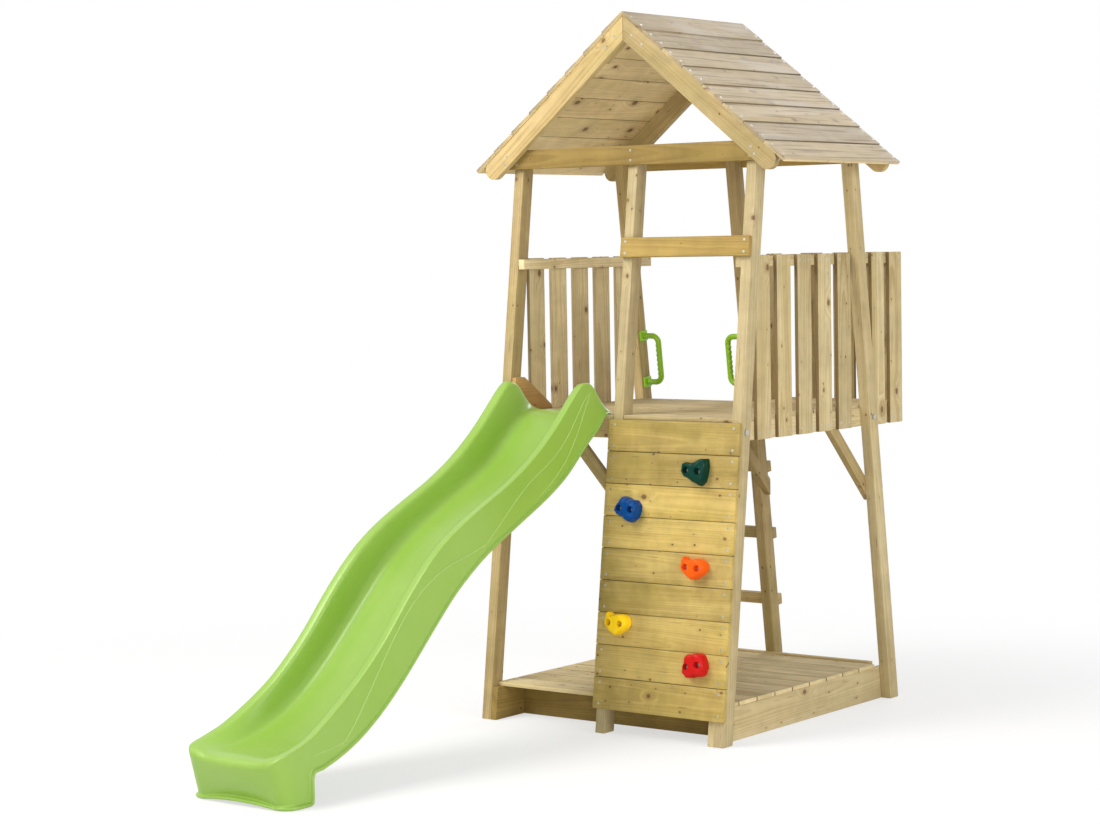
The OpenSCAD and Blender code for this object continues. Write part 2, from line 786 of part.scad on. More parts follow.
// Roof
module tie_beam(side) {
    y = side > 0 ? seat_y - tie_t : -seat_y;
    color(pine) box([-tie_x, y, tie_z], [tie_x, y + tie_t, tie_z + tie_h]);
}
module tie_cuts(side) {
    for (x = post_xs) tie_screw_places(x, side) screw_hole(tie_t);
    for (s = [-1, 1]) rafter_tie_places(s, side) screw_hole(rafter_t);
}
module tie_beam_front() {
    placed() difference() {
        tie_beam(1);
        tie_cuts(1);
    }
}
module tie_beam_back() {
    placed() difference() {
        tie_beam(-1);
        tie_cuts(-1);
    }
}
// side 1 is right and end 1 is front; the pair meets in an upright joint and the low end is round
module rafter(side, end) {
    y = end > 0 ? -rafter_y - rafter_t : rafter_y;
    c = slope_pt(side, rafter_len, -rafter_d / 2);
    color(pine) placed() difference() {
        union() {
            xz_board(y, rafter_t, [
                slope_pt(side, ridge_gap, 0), slope_pt(side, rafter_len, 0),
                slope_pt(side, rafter_len, -rafter_d),
                slope_pt(side, ridge_gap + rafter_d * tan(roof_pitch), -rafter_d)
            ]);
            translate([c[0], y + rafter_t, c[1]]) rotate([90, 0, 0]) cylinder(d = rafter_d, h = rafter_t);
        }
        rafter_apex_places(side, end) screw_hole(rafter_t);
        rafter_tie_places(side, end) screw_hole(rafter_t);
        roof_screw_places(side, end) screw_hole(roof_t);
    }
}
module rafter_front_left() {
    rafter(-1, 1);
}
module rafter_front_right() {
    rafter(1, 1);
}
module rafter_back_left() {
    rafter(-1, -1);
}
module rafter_back_right() {
    rafter(1, -1);
}
// A bent plate behind each pair of rafters, hidden from outside
apex_pts = [
    slope_pt(1, apex_drop * tan(roof_pitch), -apex_drop), slope_pt(1, apex_arm, -apex_drop),
    slope_pt(1, apex_arm, -rafter_d), slope_pt(1, rafter_d * tan(roof_pitch), -rafter_d),
    slope_pt(-1, apex_arm, -rafter_d), slope_pt(-1, apex_arm, -apex_drop)
];
module apex_plates() {
    color(pine) placed() for (end = [-1, 1]) difference() {
        xz_board(end > 0 ? -rafter_y : rafter_y - apex_t, apex_t, apex_pts);
        for (s = [-1, 1]) rafter_apex_places(s, end) screw_hole(rafter_t);
    }
}
// Each board is thicker at its lower edge; the top boards meet in an upright joint at the ridge
function roof_top_u(i, v) = i == 0 ? ridge_gap - v * tan(roof_pitch) : i * roof_board_w + roof_gap;
module roof_boards(side) {
    color(pine) placed() difference() {
        for (i = [0 : roof_count - 1]) xz_board(-roof_half, 2 * roof_half, [
            slope_pt(side, roof_top_u(i, 0), 0), slope_pt(side, (i + 1) * roof_board_w, 0),
            slope_pt(side, (i + 1) * roof_board_w, roof_t),
            slope_pt(side, roof_top_u(i, roof_t_thin), roof_t_thin)
        ]);
        for (end = [-1, 1]) roof_screw_places(side, end) screw_hole(roof_t);
    }
}
module roof_boards_left() {
    roof_boards(-1);
}
module roof_boards_right() {
    roof_boards(1);
}

// Ladder and grab handles on the back posts of the left half
module ladder_rungs() {
    color(pine) placed() difference() {
        on_back() for (i = [0 : rung_count - 1])
            box([-half_w, 0, rung_z + i * rung_pitch - rung_h / 2],
                [mid_right, rung_t, rung_z + i * rung_pitch + rung_h / 2]);
        for (x = [post_xs[0], post_xs[1]]) rung_screw_places(x) screw_hole(rung_t);
    }
}
// A handle drawn on the plane X = 0, standing out along +X
module grab_handle() {
    reach = handle_off - handle_bend;
    half = handle_span / 2;
    for (s = [-1, 1]) {
        translate([0, -handle_foot_w / 2, s * half - handle_foot_h / 2])
            cube([handle_foot_t, handle_foot_w, handle_foot_h]);
        translate([0, 0, s * half]) rotate([0, 90, 0]) cylinder(d = handle_d, h = reach);
        translate([reach, 0, s * (half - handle_bend)]) rotate([90, s > 0 ? 0 : 90, 0])
            rotate_extrude(angle = 90) translate([handle_bend, 0]) circle(d = handle_d);
    }
    translate([handle_off, 0, handle_bend - half])
        cylinder(d = handle_d, h = handle_span - 2 * handle_bend);
}
module handle_at(x, way) {
    on_back() translate([x, -post_d / 2, handle_z]) rotate([0, 0, way > 0 ? 0 : 180]) children();
}
module grab_handle_left() {
    color(lime) placed() handle_at(-inner_x, 1) grab_handle();
}
module grab_handle_right() {
    color(lime) placed() handle_at(mid_left, -1) grab_handle();
}

// Slide
// Chosen points of the side view: share of the run, then share of the drop below the platform
slide_bed = [
    [-0.04, 0], [0.022, 0], [0.045, 0.024], [0.07, 0.055], [0.14, 0.165], [0.21, 0.235], [0.29, 0.3],
    [0.41, 0.4], [0.5, 0.505], [0.58, 0.635], [0.66, 0.77], [0.73, 0.87], [0.8, 0.945], [0.87, 0.99],
    [0.93, 1.004], [1, 1]
];
slide_rim = [
    [-0.04, -0.005], [-0.02, -0.005], [0, -0.035], [0.025, -0.08], [0.048, -0.106], [0.075, -0.092],
    [0.113, -0.028], [0.16, 0.05], [0.2, 0.105], [0.25, 0.165], [0.32, 0.23], [0.4, 0.29], [0.48, 0.355],
    [0.54, 0.42], [0.59, 0.495], [0.64, 0.58], [0.685, 0.67], [0.735, 0.75], [0.79, 0.825], [0.85, 0.89],
    [0.91, 0.945], [0.96, 0.978], [1, 0.994]
];
skirt_drop = 50;
skirt_slope = 0.8;
rim_min = 5;
foot_run = 150;
foot_wall = 16;
foot_rake = 40;
nose_round = 55;
nose_edge = 22;
nose_steps = 6;
curve_width = 0.02;
// Straight interpolation in a list of points, with the corners rounded by averaging
function pick(list, s, i = 0) =
    i >= len(list) - 2 || s < list[i + 1][0]
        ? list[i][1] + (list[i + 1][1] - list[i][1]) * (s - list[i][0]) / (list[i + 1][0] - list[i][0])
        : pick(list, s, i + 1);
function smooth_pick(list, s, w) =
    (pick(list, max(s - w, list[0][0])) + 2 * pick(list, s) + pick(list, min(s + w, 1))) / 4;
function slide_z(list, s) = platform_h + slide_bed_t - slide_drop * smooth_pick(list, s, curve_width);
lip_share = -slide_lip / slide_run;
foot_share = 1 - foot_run / slide_run;
wall_share = 1 - foot_wall / slide_run;
// Height of the skirt's lower edge and of the bed's underside, at a share of the run
function skirt(s) = max(min(skirt_drop, s * slide_run * skirt_slope), 0);
function slide_low(s) = s > foot_share ? 0 : slide_z(slide_bed, s) - slide_bed_t - skirt(s);
function slide_under(s) = s > wall_share ? 0 : slide_z(slide_bed, s) - slide_bed_t;
// The left half of a section, from the skirt's foot over the rim to the middle of the bed
function slide_top_half(s) =
    let (
        zb = slide_z(slide_bed, s),
        zr = max(slide_z(slide_rim, s), zb + rim_min),
        zs = slide_low(s),
        d = zr - zb,
        wo = slide_w / 2,
        wr = slide_rim_w / 2,
        wi = wr - slide_rim_t,
        wb = slide_bed_w / 2
    ) [
        [-wo, zs], [-(2 * wo + wr) / 3, (2 * zs + zr) / 3], [-wr, zb + d * 0.72],
        [-wr + slide_rim_t * 0.1, zr - d * 0.1], [-wr + slide_rim_t * 0.35, zr],
        [-wr + slide_rim_t * 0.65, zr], [-wi, zr - d * 0.12],
        [-wi + (wi - wb) * 0.2, zb + d * 0.5], [-wi + (wi - wb) * 0.55, zb + d * 0.16], [-wb, zb], [0, zb]
    ];
// The right half of the hollow underside, from the skirt's foot through the rim to the middle
function slide_low_half(s) =
    let (
        zb = slide_z(slide_bed, s),
        zr = max(slide_z(slide_rim, s), zb + rim_min),
        zu = slide_under(s),
        zc = s > wall_share ? 0 : zb + (zr - zb) * 0.7 - slide_wall_t,
        zm = s > wall_share ? 0 : zb + (zr - zb) * 0.16 - slide_wall_t * 1.4,
        wr = slide_rim_w / 2,
        wi = wr - slide_rim_t,
        wb = slide_bed_w / 2
    ) [
        [slide_w / 2 - slide_wall_t, slide_low(s)], [wr - slide_wall_t, zc], [wi + slide_wall_t, zc],
        [(wi + wb) / 2 + slide_wall_t / 2, zm], [wb, zu], [0, zu]
    ];
// A half section and its mirror image, which share the middle point
function whole(half) = concat(half, [for (i = [len(half) - 2 : -1 : 0]) [-half[i][0], half[i][1]]]);
// The nose is round in plan and along its top edge: share of the full width and height that is left
function rounded(s, reach, whole_size) =
    let (u = max(1 - (1 - s) * slide_run / reach, 0)) 1 - reach / whole_size * (1 - sqrt(1 - u * u));
function nose_in(s) = rounded(s, nose_round, slide_w / 2);
function nose_down(s) = rounded(s, nose_edge, slide_exit);
// Sections along the run, with close pairs where the foot and its front wall begin
step_share = 0.003;
nose_share = 1 - nose_round / slide_run;
function nose_s(i) = 1 - (1 - sin(90 * i / nose_steps)) * nose_round / slide_run;
slide_s = concat(
    [for (i = [0 : slide_steps - 1]) lip_share + (foot_share - lip_share) * i / (slide_steps - 1)],
    [foot_share + step_share, (foot_share + nose_share) / 2],
    [for (i = [0 : nose_steps]) if (nose_s(i) < wall_share - step_share / 2) nose_s(i)],
    [wall_share, wall_share + step_share],
    [for (i = [0 : nose_steps]) if (nose_s(i) > wall_share + step_share) nose_s(i)]
);
// Triangles that close an end section, whose first point has the number at;
// the right half mirrors the left
top_last = 2 * len(slide_top_half(0)) - 2;
low_last = top_last + 2 * len(slide_low_half(0)) - 1;
left_cap = [
    [0, 1, low_last], [1, 2, low_last], [2, low_last - 1, low_last], [2, 3, low_last - 1],
    [3, 4, low_last - 1], [4, low_last - 2, low_last - 1], [4, 5, low_last - 2], [5, 6, low_last - 2],
    [6, 7, low_last - 2], [7, low_last - 3, low_last - 2], [7, 8, low_last - 3],
    [8, low_last - 4, low_last - 3], [8, 9, low_last - 4], [9, low_last - 5, low_last - 4],
    [9, 10, low_last - 5]
];
function across(i) = i <= top_last ? top_last - i : low_last + top_last + 1 - i;
right_cap = [for (f = left_cap) [across(f[2]), across(f[1]), across(f[0])]];
function end_cap(at, turned) = [for (f = concat(left_cap, right_cap))
    turned ? [at + f[2], at + f[1], at + f[0]] : [at + f[0], at + f[1], at + f[2]]];
// The front leans back towards the ground
function foot_lean(s, z) =
    foot_rake * max(s - foot_share, 0) / (1 - foot_share) * (1 - z / (slide_exit + rim_min));
module slide() {
    rings = [for (s = slide_s) concat(whole(slide_top_half(s)), whole(slide_low_half(s)))];
    n = len(rings[0]);
    k = len(rings);
    pts = [for (j = [0 : k - 1]) for (p = rings[j])
        let (s = slide_s[j], z = p[1] * nose_down(s))
        [slide_x + p[0] * nose_in(s), slide_y0 - s * slide_run + foot_lean(s, z), z]];
    side = [for (j = [0 : k - 2]) for (i = [0 : n - 1])
        let (m = (i + 1) % n) each [
            [j * n + i, (j + 1) * n + m, (j + 1) * n + i],
            [j * n + i, j * n + m, (j + 1) * n + m]
        ]];
    color(lime) placed() polyhedron(pts, concat(side, end_cap(0, true), end_cap((k - 1) * n, false)));
}
// A sloping board beside the slide's entry, on the deck and against the front left post
module slide_cheek_board() {
    color("#c89058") placed() yz_board(-inner_x, cheek_t, [
        [deck_front + beam_inset, platform_h], [deck_front + cheek_len, platform_h],
        [deck_front + cheek_len, platform_h + cheek_low],
        [rear_face_y(platform_h + cheek_h), platform_h + cheek_h],
        [front_y(platform_h + cheek_h) + beam_inset, platform_h + cheek_h]
    ]);
}

// Fastener groups
module wall_screws() {
    color(zinc) placed() for (x = wall_screw_x) wall_screw_places(x) screw(wall_t);
}
module slat_screws() {
    color(zinc) placed() {
        side_slat_screw_places(-inner_x - slat_t, -1, side_slats) screw(slat_t);
        side_slat_screw_places(inner_x + slat_t, 1, right_slats) screw(slat_t);
        side_slat_screw_places(mid_right - slat_t, -1, [side_slat_y]) screw(slat_t);
        back_slat_screw_places() screw(slat_t);
    }
}
module roof_screws() {
    color(zinc) placed() for (side = [-1, 1]) for (end = [-1, 1])
        roof_screw_places(side, end) screw(roof_t);
}
module frame_screws() {
    color(zinc) placed() {
        for (x = wall_screw_x) cross_screw_places(x) screw(cross_t);
        for (x = [post_xs[0], post_xs[1]]) rung_screw_places(x) screw(rung_t);
        for (end = [-1, 1]) {
            for (x = post_xs) tie_screw_places(x, end) screw(tie_t);
            for (s = [-1, 1]) rafter_apex_places(s, end) screw(rafter_t);
            for (s = [-1, 1]) rafter_tie_places(s, end) screw(rafter_t);
        }
    }
}
module frame_bolts() {
    color(zinc) placed() {
        bolt_places(-half_w, -1) bolt();
        bolt_places(mid_left, -1) bolt();
        bolt_places(half_w, 1) bolt();
    }
}

post_front_left();
post_front_middle();
post_front_right();
post_back_left();
post_back_middle();
post_back_right();
base_board_left();
base_board_right();
base_board_back();
base_joist_front();
base_joist_middle();
lower_deck_boards();
platform_beam_left();
platform_beam_middle();
platform_beam_right();
platform_beam_front();
platform_beam_back();
balcony_beam();
platform_deck_boards();
balcony_deck_boards();
brace_front_middle();
brace_back_left();
brace_back_middle();
brace_back_right();
railing_left_rail();
railing_left_slats();
railing_right_rail();
railing_right_slats();
balcony_back_rail();
balcony_back_slats();
balcony_side_rail();
balcony_side_slat();
cross_rail();
climbing_wall_boards();
hold_green();
hold_blue();
hold_orange();
hold_yellow();
hold_red();
hold_bolts();
tie_beam_front();
tie_beam_back();
rafter_front_left();
rafter_front_right();
rafter_back_left();
rafter_back_right();
apex_plates();
roof_boards_left();
roof_boards_right();
ladder_rungs();
grab_handle_left();
grab_handle_right();
slide();
slide_cheek_board();
wall_screws();
slat_screws();
roof_screws();
frame_screws();
frame_bolts();
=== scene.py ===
import math
import random
import bmesh
import bpy
from mathutils import Matrix, Vector, noise


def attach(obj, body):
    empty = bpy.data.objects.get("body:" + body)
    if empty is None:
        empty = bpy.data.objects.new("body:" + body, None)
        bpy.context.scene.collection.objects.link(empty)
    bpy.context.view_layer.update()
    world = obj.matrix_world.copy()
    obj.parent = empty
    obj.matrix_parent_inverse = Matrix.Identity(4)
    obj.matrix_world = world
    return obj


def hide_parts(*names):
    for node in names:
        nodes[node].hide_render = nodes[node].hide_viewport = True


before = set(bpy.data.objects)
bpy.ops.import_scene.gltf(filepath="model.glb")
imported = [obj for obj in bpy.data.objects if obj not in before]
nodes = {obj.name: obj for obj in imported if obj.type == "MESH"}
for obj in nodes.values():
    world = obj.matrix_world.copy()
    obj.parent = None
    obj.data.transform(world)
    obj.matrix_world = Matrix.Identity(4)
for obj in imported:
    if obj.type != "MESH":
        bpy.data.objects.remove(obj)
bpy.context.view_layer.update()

# Sizes from the part, in metres
TOWER_Y = 0.793
FOOT_DEPTH = 1.286
LEAN = math.radians(7.3)
WALL_T = 0.020
PITCH = math.radians(39)
PLATFORM = 1.200
# points of a solid that are closer than this are one point
MERGE = 0.00002


# Ways of working
def set_mode(name):
    bpy.ops.object.mode_set(mode=name)


def choose(action):
    bpy.ops.mesh.select_all(action=action)


def put_down():
    """Leaves edit mode and lets go of everything."""
    if bpy.context.object and bpy.context.object.mode != "OBJECT":
        set_mode("OBJECT")
    bpy.ops.object.select_all(action="DESELECT")


def take(piece):
    """Makes one piece the only one in hand."""
    put_down()
    piece.select_set(True)
    bpy.context.view_layer.objects.active = piece


def join_to(piece, others):
    """Makes the other pieces part of the first one."""
    take(piece)
    for other in others:
        other.select_set(True)
    bpy.ops.object.join()


def settle(piece):
    """Moves the piece's place into its mesh, so that its object sits at the origin."""
    take(piece)
    bpy.ops.object.transform_apply(location=True, rotation=True, scale=True)


def edit_only(piece, kind, wanted):
    """Goes into edit mode with only the wanted faces or edges chosen."""
    take(piece)
    set_mode("EDIT")
    bpy.ops.mesh.select_mode(type=kind)
    choose("DESELECT")
    set_mode("OBJECT")
    for part in piece.data.edges if kind == "EDGE" else piece.data.polygons:
        part.select = wanted(part)
    set_mode("EDIT")


def apply_all(piece):
    """Makes the piece's modifiers part of its mesh."""
    take(piece)
    for m in list(piece.modifiers):
        bpy.ops.object.modifier_apply(modifier=m.name)


def smooth_to(angle):
    bpy.ops.object.shade_smooth_by_angle(angle=math.radians(angle))


def add_object(name, data):
    piece = bpy.data.objects.new(name, data)
    bpy.context.scene.collection.objects.link(piece)
    return piece


def islands(bm):
    """The points of each separate part of a mesh."""
    seen = set()
    parts = []
    for start in bm.verts:
        if start in seen:
            continue
        part = [start]
        seen.add(start)
        for v in part:
            for e in v.link_edges:
                w = e.other_vert(v)
                if w not in seen:
                    seen.add(w)
                    part.append(w)
        parts.append(part)
    return parts


def finish_piece(piece, finish, slot, *stands_for):
    piece.data.materials.clear()
    piece.data.materials.append(finish)
    if stands_for:
        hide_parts(*stands_for)
    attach(piece, "root")


# Shader building
def set_plain(n, values):
    for key, value in values.items():
        n.inputs[key].default_value = value


def place(tree, kind, feeds=None, **settings):
    """Adds a node and sets its properties and inputs; an input takes a value or a node's socket."""
    n = tree.nodes.new("ShaderNode" + kind)
    for key, value in settings.items():
        setattr(n, key, value)
    for key, value in (feeds or {}).items():
        if isinstance(value, bpy.types.NodeSocket):
            tree.links.new(value, n.inputs[key])
        else:
            n.inputs[key].default_value = value
    return n


def calc(tree, operation, a, b=0.0, clamp=False):
    n = place(tree, "Math", {0: a, 1: b}, operation=operation, use_clamp=clamp)
    return n.outputs[0]


def plus(tree, a, b, clamp=False):
    return calc(tree, "ADD", a, b, clamp)


def times(tree, a, b):
    return calc(tree, "MULTIPLY", a, b)


def vector_calc(tree, operation, a, b=None):
    feeds = {0: a} if b is None else {0: a, 1: b}
    n = place(tree, "VectorMath", feeds, operation=operation)
    return n.outputs["Value" if operation == "LENGTH" else "Vector"]


def cloudy(tree, vector, scale, detail, rough=0.5, give="Fac"):
    """Soft noise at a place."""
    feeds = {"Vector": vector, "Scale": scale, "Detail": detail, "Roughness": rough}
    return place(tree, "TexNoise", feeds).outputs[give]


def blend_colour(tree, factor, a, b, mode="MIX"):
    n = place(tree, "Mix", {0: factor, 6: a, 7: b}, data_type="RGBA", blend_type=mode)
    return n.outputs[2]


def spread(tree, value, low, high, to_low=0.0, to_high=1.0):
    """Carries a value softly from one range to another."""
    n = place(tree, "MapRange", {0: value, 1: low, 2: high, 3: to_low, 4: to_high},
              interpolation_type="SMOOTHSTEP")
    return n.outputs[0]


def written(tree, attribute, give="Fac"):
    """What a piece's points or faces carry under a name."""
    return place(tree, "Attribute", attribute_name=attribute).outputs[give]


def here_on_piece(tree):
    return place(tree, "TexCoord").outputs["Object"]


# what each figure group gives to a finish
SURFACE = [("Color", "Color"), ("Roughness", "Float"), ("Height", "Float")]


def new_group(name, takes):
    g = bpy.data.node_groups.new(name, "ShaderNodeTree")
    for n, kind, value in takes:
        s = g.interface.new_socket(n, in_out="INPUT", socket_type="NodeSocket" + kind)
        if value is not None:
            s.default_value = value
    for n, kind in SURFACE:
        g.interface.new_socket(n, in_out="OUTPUT", socket_type="NodeSocket" + kind)
    return g, g.nodes.new("NodeGroupInput").outputs, g.nodes.new("NodeGroupOutput").inputs


def new_finish(name):
    m = bpy.data.materials.new(name)
    m.use_nodes = True
    tree = m.node_tree
    return m, tree, tree.nodes["Principled BSDF"]


def dress(tree, shader, colour, figure, strength, depth):
    """Joins a colour, and a figure's roughness and relief, to a finish's shader."""
    tree.links.new(colour, shader.inputs["Base Color"])
    tree.links.new(figure.outputs["Roughness"], shader.inputs["Roughness"])
    bump = place(tree, "Bump", {"Height": figure.outputs["Height"], "Strength": strength,
                                "Distance": depth})
    tree.links.new(bump.outputs[0], shader.inputs["Normal"])


# Pine: growth rings round a pith beside the board, bent round knots, with fibres and stains
RING_WIDTH = 0.0066
# how far a ring drifts along each metre of the board, and round a knot
RING_DRIFT = 0.011
LARGE_KNOTS = {"cells": (3.4, 8.5), "small": 0.0050, "large": 0.0110, "stretch": 0.42}
PIN_KNOTS = {"cells": (9.0, 17.0), "small": 0.0016, "large": 0.0046, "stretch": 0.4}


def make_pine_group():
    g, take_in, give = new_group(
        "pine figure",
        [("Along", "Vector", None), ("Tone", "Float", 0.5),
         ("Light Wood", "Color", (0.6, 0.45, 0.2, 1)), ("Dark Wood", "Color", (0.4, 0.26, 0.1, 1)),
         ("Stain", "Color", (0.4, 0.36, 0.14, 1)), ("Stain Amount", "Float", 0.4),
         ("Knots", "Float", 0.4), ("Pin Knots", "Float", 0.3), ("Ring Depth", "Float", 0.4),
         ("Knot Size", "Float", 1.0), ("Cloud", "Float", 0.5)])
    along = take_in["Along"]
    length, across, through = place(g, "SeparateXYZ", {0: along}).outputs
    # across a wide face or a narrow one, so that a knot is round on both
    on_face = place(g, "CombineXYZ", {0: length, 1: plus(g, across, through), 2: 0.0}).outputs[0]

    def scaled(vector, *by):
        return vector_calc(g, "MULTIPLY", vector, by)

    def noise_at(vector, detail, rough=0.5):
        return cloudy(g, vector, 1.0, detail, rough)

    def swing(value, amount):
        """A noise's swing about its middle."""
        return times(g, calc(g, "SUBTRACT", value, 0.5), amount)

    def knots_in(share, cells, small, large, stretch):
        """Knots of a grid of cells: where one is, how near its middle, how near in bent grain."""
        at = scaled(on_face, *cells, 0.0)
        cell = place(g, "TexVoronoi", {"Vector": at, "Scale": 1.0, "Randomness": 0.7},
                     voronoi_dimensions="2D")
        off = vector_calc(g, "SUBTRACT", at, cell.outputs["Position"])
        dice = place(g, "SeparateColor", {0: cell.outputs["Color"]}).outputs
        here = calc(g, "LESS_THAN", dice[0], share)
        size = times(g, spread(g, dice[1], 0.0, 1.0, small, large), take_in["Knot Size"])

        def reach(flat):
            way = scaled(off, flat / cells[0], 1 / cells[1], 0.0)
            return calc(g, "DIVIDE", vector_calc(g, "LENGTH", way), size)

        blotch = noise_at(scaled(on_face, 150.0, 210.0, 0.0), 2.0)
        return here, plus(g, reach(0.75), swing(blotch, 0.9)), reach(stretch)

    def fading(near, low, high, here):
        return times(g, spread(g, near, low, high, 1.0, 0.0), here)

    # slow wander of the grain
    wander = cloudy(g, scaled(along, 1.0, 6.0, 6.0), 1.0, 2.0, give="Color")
    wander = vector_calc(g, "SUBTRACT", wander, (0.5, 0.5, 0.5))
    bent = vector_calc(g, "ADD", along, scaled(wander, 0.0, 0.030, 0.030))
    # large and small knots
    here, near, wide = knots_in(take_in["Knots"], **LARGE_KNOTS)
    knot = fading(near, 0.65, 1.15, here)
    heart = fading(near, 0.2, 0.8, here)
    halo = fading(near, 0.8, 2.6, here)
    swirl = fading(wide, 0.5, 3.4, here)
    pin_here, pin_near, pin_wide = knots_in(take_in["Pin Knots"], **PIN_KNOTS)
    pin = fading(pin_near, 0.6, 1.3, pin_here)
    pin_halo = fading(pin_wide, 0.8, 3.2, pin_here)
    # rings: distance from the pith, and the wood's streaks that follow it
    pith = vector_calc(g, "LENGTH", scaled(bent, 0.0, 1.0, 1.0))
    ring_r = plus(g, plus(g, pith, times(g, length, RING_DRIFT)), times(g, swirl, RING_DRIFT))
    phase = calc(g, "FRACT", calc(g, "DIVIDE", ring_r, RING_WIDTH))
    late = times(g, spread(g, phase, 0.3, 0.88), spread(g, phase, 0.92, 1.0, 1.0, 0.0))
    follow = place(g, "CombineXYZ", {0: length, 1: ring_r, 2: 0.0}).outputs[0]
    broad = noise_at(scaled(follow, 0.8, 26.0, 0.0), 2.0)
    streak = noise_at(scaled(follow, 2.0, 120.0, 0.0), 4.0)
    fibre = noise_at(scaled(bent, 11.0, 520.0, 520.0), 2.0)
    figure = plus(g, swing(broad, 1.5), swing(streak, 1.1))
    figure = plus(g, figure, times(g, late, take_in["Ring Depth"]))
    figure = plus(g, figure, 0.34, clamp=True)
    wood = blend_colour(g, figure, take_in["Light Wood"], take_in["Dark Wood"])
    # stains of the treatment, and the shimmer of the grain across the board
    patch = noise_at(scaled(along, 2.4, 7.0, 7.0), 3.0, 0.6)
    stain = times(g, spread(g, patch, 0.42, 0.68), take_in["Stain Amount"])
    wood = blend_colour(g, stain, wood, take_in["Stain"])
    shimmer = noise_at(scaled(bent, 11.0, 9.0, 9.0), 4.0, 0.6)
    tone = spread(g, take_in["Tone"], 0.0, 1.0, 0.78, 1.12)
    fine = plus(g, plus(g, tone, swing(fibre, 0.20)), swing(shimmer, take_in["Cloud"]))
    shade = place(g, "CombineColor", {0: fine, 1: fine, 2: fine}).outputs[0]
    wood = blend_colour(g, 1.0, wood, shade, "MULTIPLY")
    # knots over all, then fine cracks
    for mask, amount, colour in ((halo, 0.42, (0.34, 0.19, 0.065, 1)),
                                 (knot, 0.80, (0.095, 0.048, 0.019, 1)),
                                 (heart, 0.55, (0.20, 0.095, 0.034, 1)),
                                 (pin_halo, 0.22, (0.36, 0.22, 0.08, 1)),
                                 (pin, 0.80, (0.075, 0.040, 0.016, 1))):
        wood = blend_colour(g, times(g, mask, amount), wood, colour)
    crack = spread(g, noise_at(scaled(bent, 8.0, 170.0, 170.0), 1.0), 0.70, 0.78, 0.0, 0.55)
    wood = blend_colour(g, crack, wood, (0.120, 0.072, 0.028, 1))
    g.links.new(wood, give["Color"])
    rough = spread(g, fibre, 0.2, 0.8, 0.56, 0.76)
    g.links.new(calc(g, "SUBTRACT", rough, times(g, knot, 0.12)), give["Roughness"])
    height = plus(g, times(g, late, 0.3), times(g, fibre, 0.7))
    g.links.new(calc(g, "SUBTRACT", height, times(g, knot, 0.4)), give["Height"])
    return g


pine_group = make_pine_group()
# painted shade for the narrow sides of boards in the joints, and the darker end grain of the roof
# boards' ends
JOINT_SHADE_AND_END_GRAIN = (0.060, 0.042, 0.015, 1)
# painted shade for the side edges of slats and rails, as if shaded in the narrow gaps between them
GAP_EDGE_SHADE = (0.130, 0.078, 0.025, 1)
GROOVE_DARKENING = (0.190, 0.130, 0.055, 1)
GREYED = (0.350, 0.290, 0.225, 1)
BROWN_STREAK = (0.160, 0.108, 0.058, 1)
BLEACHED = (0.600, 0.550, 0.480, 1)


def pine_finish(name, light, dark, stain, stain_amount, knots, pin_knots, rings=0.4, knot_size=1.0,
                cloud=0.5, ribbed=False, dark_edges=0.0, edge_colour=JOINT_SHADE_AND_END_GRAIN, weathered=False):
    m, tree, shader = new_finish(name)
    grain = written(tree, "grain", "Vector")
    figure = place(tree, "Group",
                   {"Along": grain, "Tone": written(tree, "tone"), "Light Wood": light,
                    "Dark Wood": dark, "Stain": stain, "Stain Amount": stain_amount,
                    "Knots": knots, "Pin Knots": pin_knots, "Ring Depth": rings,
                    "Knot Size": knot_size, "Cloud": cloud}, node_tree=pine_group)
    colour = figure.outputs["Color"]
    if ribbed:
        # darker in the grooves between the ribs
        in_groove = spread(tree, written(tree, "groove"), 0.3, 1.0, 0.0, 0.7)
        colour = blend_colour(tree, in_groove, colour, GROOVE_DARKENING)
    if weathered:
        # greyed outside, with brown streaks along the grain and pale patches
        outside = written(tree, "outside")

        def patches(scale, low, high, most):
            cloud_here = cloudy(tree, vector_calc(tree, "MULTIPLY", grain, scale), 1.0, 4.0)
            return times(tree, spread(tree, cloud_here, low, high, 0.0, most), outside)

        for mask, over in ((times(tree, outside, 0.62), GREYED),
                           (patches((2.2, 75.0, 75.0), 0.48, 0.70, 0.62), BROWN_STREAK),
                           (patches((2.5, 12.0, 12.0), 0.52, 0.70, 0.40), BLEACHED)):
            colour = blend_colour(tree, mask, colour, over)
    if dark_edges:
        # painted shade: the narrow sides of boards, seen in the joints between them, are darkened
        # as if in shadow; the roof boards' ends are also darker end grain
        inside = times(tree, written(tree, "joint"), dark_edges)
        colour = blend_colour(tree, inside, colour, edge_colour)
    dress(tree, shader, colour, figure, 0.35, 0.0012)
    set_plain(shader, {"Specular IOR Level": 0.3})
    return m


# each wood: its light, dark and stained colour, then how much stain, knots and pin knots it has
treated_pine = pine_finish(
    "treated pine", (0.580, 0.440, 0.220, 1), (0.375, 0.262, 0.098, 1), (0.400, 0.315, 0.115, 1),
    0.40, 0.34, 0.40)
wall_pine = pine_finish(
    "wall board pine", (0.595, 0.438, 0.146, 1), (0.380, 0.263, 0.066, 1),
    (0.370, 0.278, 0.060, 1), 0.60, 0.42, 0.40, rings=0.25, cloud=0.75, dark_edges=0.85)
slat_pine = pine_finish(
    "slat pine", (0.605, 0.502, 0.288, 1), (0.378, 0.272, 0.108, 1), (0.455, 0.360, 0.155, 1),
    0.30, 0.36, 0.46, cloud=0.55, dark_edges=0.85, edge_colour=GAP_EDGE_SHADE)
roof_pine = pine_finish(
    "roof board pine", (0.800, 0.640, 0.370, 1), (0.545, 0.405, 0.195, 1),
    (0.560, 0.450, 0.205, 1), 0.45, 0.66, 0.36, rings=0.25, knot_size=1.25, cloud=0.6,
    dark_edges=0.60, weathered=True)
